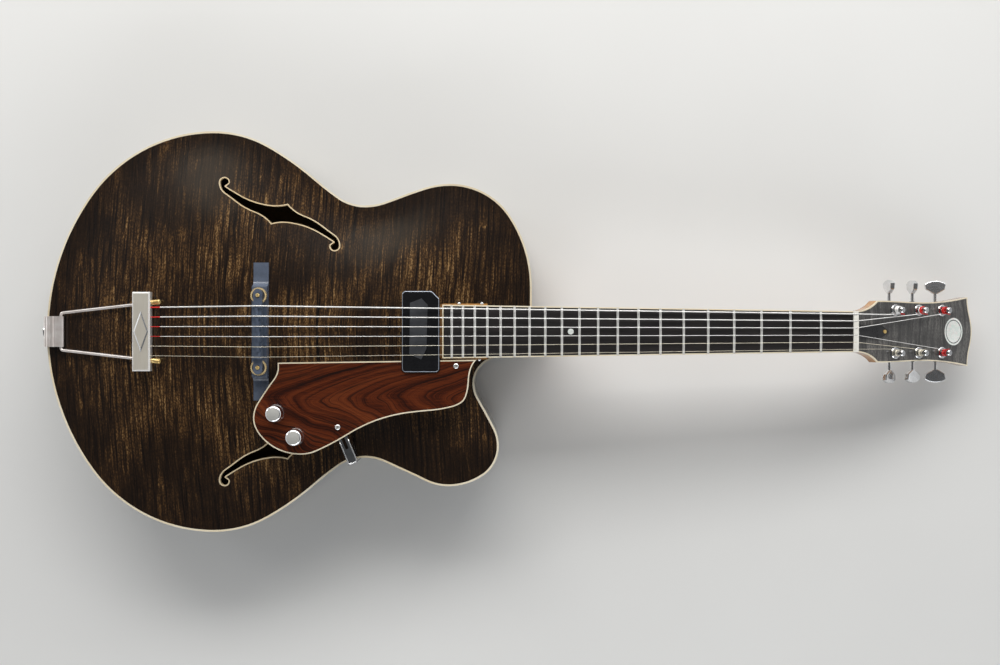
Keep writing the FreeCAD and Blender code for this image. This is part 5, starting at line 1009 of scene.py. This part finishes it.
def hingeRidges():
    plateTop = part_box("tailpiece_hinge")[1].z
    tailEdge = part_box("rims")[0].x
    half, low = hingeLook["half"], plateTop - hingeLook["sink"]
    rings = []
    for step in range(hingeLook["steps"] + 1):
        along = hingeLook["from"] + (hingeLook["to"] - hingeLook["from"]) * step / hingeLook["steps"]
        high = plateTop + hingeLook["stand"]
        for middle, reach, height in hingeLook["ridges"]:
            share = max(0.0, 1 - abs(along - middle) / reach)
            high += height * math.sin(share * math.pi / 2) ** 2
        corners = ((half, high), (-half, high), (-half, low), (half, low))
        rings.append([(tailEdge + along, y, z) for y, z in corners])
    return ringSolid("hingeRidges", rings, finishes["hingeNickel"])


ridges = hingeRidges()
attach(ridges, "guitar")

# round-head screws in the edges of the plate that carries the pickup
plateScrewLook = {"places": ((0.0206, 1), (0.0450, 1), (0.0420, -1)), "radius": 0.0020, "rise": 0.0018,
                  "plate": 0.0025, "sink": 0.0008, "sides": 28, "rings": 6, "tip": 0.6}


def plateScrews():
    low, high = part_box("pickup_plate")
    vertices, faces = [], []
    for along, side in plateScrewLook["places"]:
        fall = math.tan(math.radians(neckRun["pitch"])) * along
        middle = Vector((low.x + along, side * high.y, high.z - plateScrewLook["plate"] / 2 - fall))
        path, radii = [middle - Vector((0, side * plateScrewLook["sink"], 0))], [plateScrewLook["radius"]]
        for ring in range(plateScrewLook["rings"] + 1):
            angle = math.pi / 2 * ring / (plateScrewLook["rings"] + plateScrewLook["tip"])
            path.append(middle + Vector((0, side * plateScrewLook["rise"] * math.sin(angle), 0)))
            radii.append(plateScrewLook["radius"] * math.cos(angle))
        join(vertices, faces, *sweep(path, radii, plateScrewLook["sides"]))
    return meshPiece("plateScrews", vertices, faces, finishes["chrome"])


screws = plateScrews()
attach(screws, "guitar")

# raised bright edges of the bracket that holds the pickguard off the rim
railLook = {"lean": 67.54, "half": 0.0053, "run": 0.026, "radius": 0.0006, "sides": 10, "corner": 0.0012,
            "step": 0.004}


def bracketRails():
    low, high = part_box("pickguard_bracket")
    lean = math.radians(railLook["lean"])
    way = Vector((math.cos(lean), -math.sin(lean), 0))
    side = Vector((math.sin(lean), math.cos(lean), 0))
    tip = Vector((high.x - railLook["half"] * side.x, low.y + railLook["half"] * side.y, high.z))
    tip -= way * railLook["radius"]
    reach = railLook["half"] - railLook["radius"]
    start, corner = tip - way * railLook["run"] + side * reach, tip + side * reach
    far, end = tip - side * reach, tip - way * railLook["run"] - side * reach
    firstBend = bendPoints(start, corner, far, railLook["corner"])
    lastBend = bendPoints(corner, far, end, railLook["corner"])
    path = straightPoints(start, firstBend[0], railLook["step"])[:-1] + firstBend + lastBend
    path += straightPoints(lastBend[-1], end, railLook["step"])[1:]
    vertices, faces = sweep(path, [railLook["radius"]] * len(path), railLook["sides"])
    return meshPiece("bracketRails", vertices, faces, finishes["keyChrome"])


rails = bracketRails()
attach(rails, "guitar")
print("tailpiece trim, plate screws and bracket rails built")

# floor, light and camera
stageLook = {"floor": 3.0, "pale": (0.80, 0.80, 0.79), "shade": (0.74, 0.74, 0.73), "cloud": ((3, 3, 3), 3.0)}


def buildFloor():
    half = stageLook["floor"]
    material, tree, shader, place = newMaterial("paleFloor", Roughness=0.85, Specular_IOR_Level=0.2)
    cloud = noise(tree, place, *stageLook["cloud"])
    paint(tree, shader, Base_Color=blendColour(tree, cloud, stageLook["pale"], stageLook["shade"]))
    floor = meshPiece("floor", [(-half, -half, 0), (half, -half, 0), (half, half, 0), (-half, half, 0)],
                      [(0, 1, 2, 3)], material, smooth=False)


lampTarget = (-0.05, 0.0, 0.10)
lamps = {
    "keyBox": {"at": (-0.20, 1.75, 1.40), "size": (2.6, 0.8), "power": 46.0, "tint": (1.0, 0.985, 0.96)},
    "headBox": {"at": (1.50, 1.90, 0.95), "size": (1.2, 0.8), "power": 14.0, "tint": (1.0, 0.99, 0.97)},
    "fillBox": {"at": (0.20, -1.80, 1.00), "size": (2.2, 0.7), "power": 16.0, "tint": (0.95, 0.975, 1.0)},
    "tailBox": {"at": (-2.20, 0.90, 0.50), "size": (0.5, 1.4), "power": 8.0, "tint": (1.0, 0.99, 0.97)}}


def buildLamps():
    for name, look in lamps.items():
        light = bpy.data.lights.new(name, "AREA")
        light.shape = "RECTANGLE"
        light.size, light.size_y = look["size"]
        light.energy = look["power"]
        light.color = look["tint"]
        lamp = bpy.data.objects.new(name, light)
        lamp.location = look["at"]
        lamp.rotation_euler = (Vector(lampTarget) - Vector(look["at"])).to_track_quat("-Z", "Y").to_euler()
        bpy.context.scene.collection.objects.link(lamp)


# the sky is bright low down and on the key side, dark overhead, with one soft glow
skyLook = {"level": 1.15, "zenith": (0.075, 0.078, 0.081), "rim": (1.10, 1.11, 1.12), "rimTo": 0.08,
           "zenithFrom": 0.70, "darkSide": 0.55, "sideReach": 0.45, "glowAt": (-0.22, 0.54, 0.812),
           "glowFrom": 0.974, "glowTo": 0.999, "glow": (0.72, 0.62, 0.48)}


def buildSky():
    world = bpy.data.worlds.new("studio")
    bpy.context.scene.world = world
    world.use_nodes = True
    tree = world.node_tree
    back = tree.nodes["Background"]
    way = addNode(tree, "ShaderNodeTexCoord").outputs["Generated"]
    y, z = splitVector(tree, way)[1:]
    dome = colourRamp(tree, z, [(skyLook["rimTo"], skyLook["rim"]), (skyLook["zenithFrom"], skyLook["zenith"])])
    side = remap(tree, y, -skyLook["sideReach"], skyLook["sideReach"], skyLook["darkSide"], 1.0)
    dome = blendColour(tree, 1.0, dome, joinVector(tree, side, side, side), "MULTIPLY")
    near = addNode(tree, "ShaderNodeVectorMath", {0: way, 1: skyLook["glowAt"]}, operation="DOT_PRODUCT")
    glow = remap(tree, near.outputs["Value"], skyLook["glowFrom"], skyLook["glowTo"])
    tree.links.new(blendColour(tree, glow, dome, skyLook["glow"]), back.inputs["Color"])
    back.inputs["Strength"].default_value = skyLook["level"]


# straight from the front, as in the photograph
cameraLook = {"at": (jointX - 0.0345, -0.0010, 1.340), "lens": 41.4, "sensor": 36.0, "near": 0.05}


def buildCamera():
    data = bpy.data.cameras.new("photoCamera")
    data.lens = cameraLook["lens"]
    data.sensor_width = cameraLook["sensor"]
    data.clip_start = cameraLook["near"]
    camera = bpy.data.objects.new("photoCamera", data)
    camera.location = cameraLook["at"]
    bpy.context.scene.collection.objects.link(camera)
    bpy.context.scene.camera = camera


buildFloor()
buildLamps()
buildSky()
buildCamera()
bpy.context.scene.view_settings.view_transform = "Standard"
print("stage, light and camera set")

bpy.context.view_layer.update()
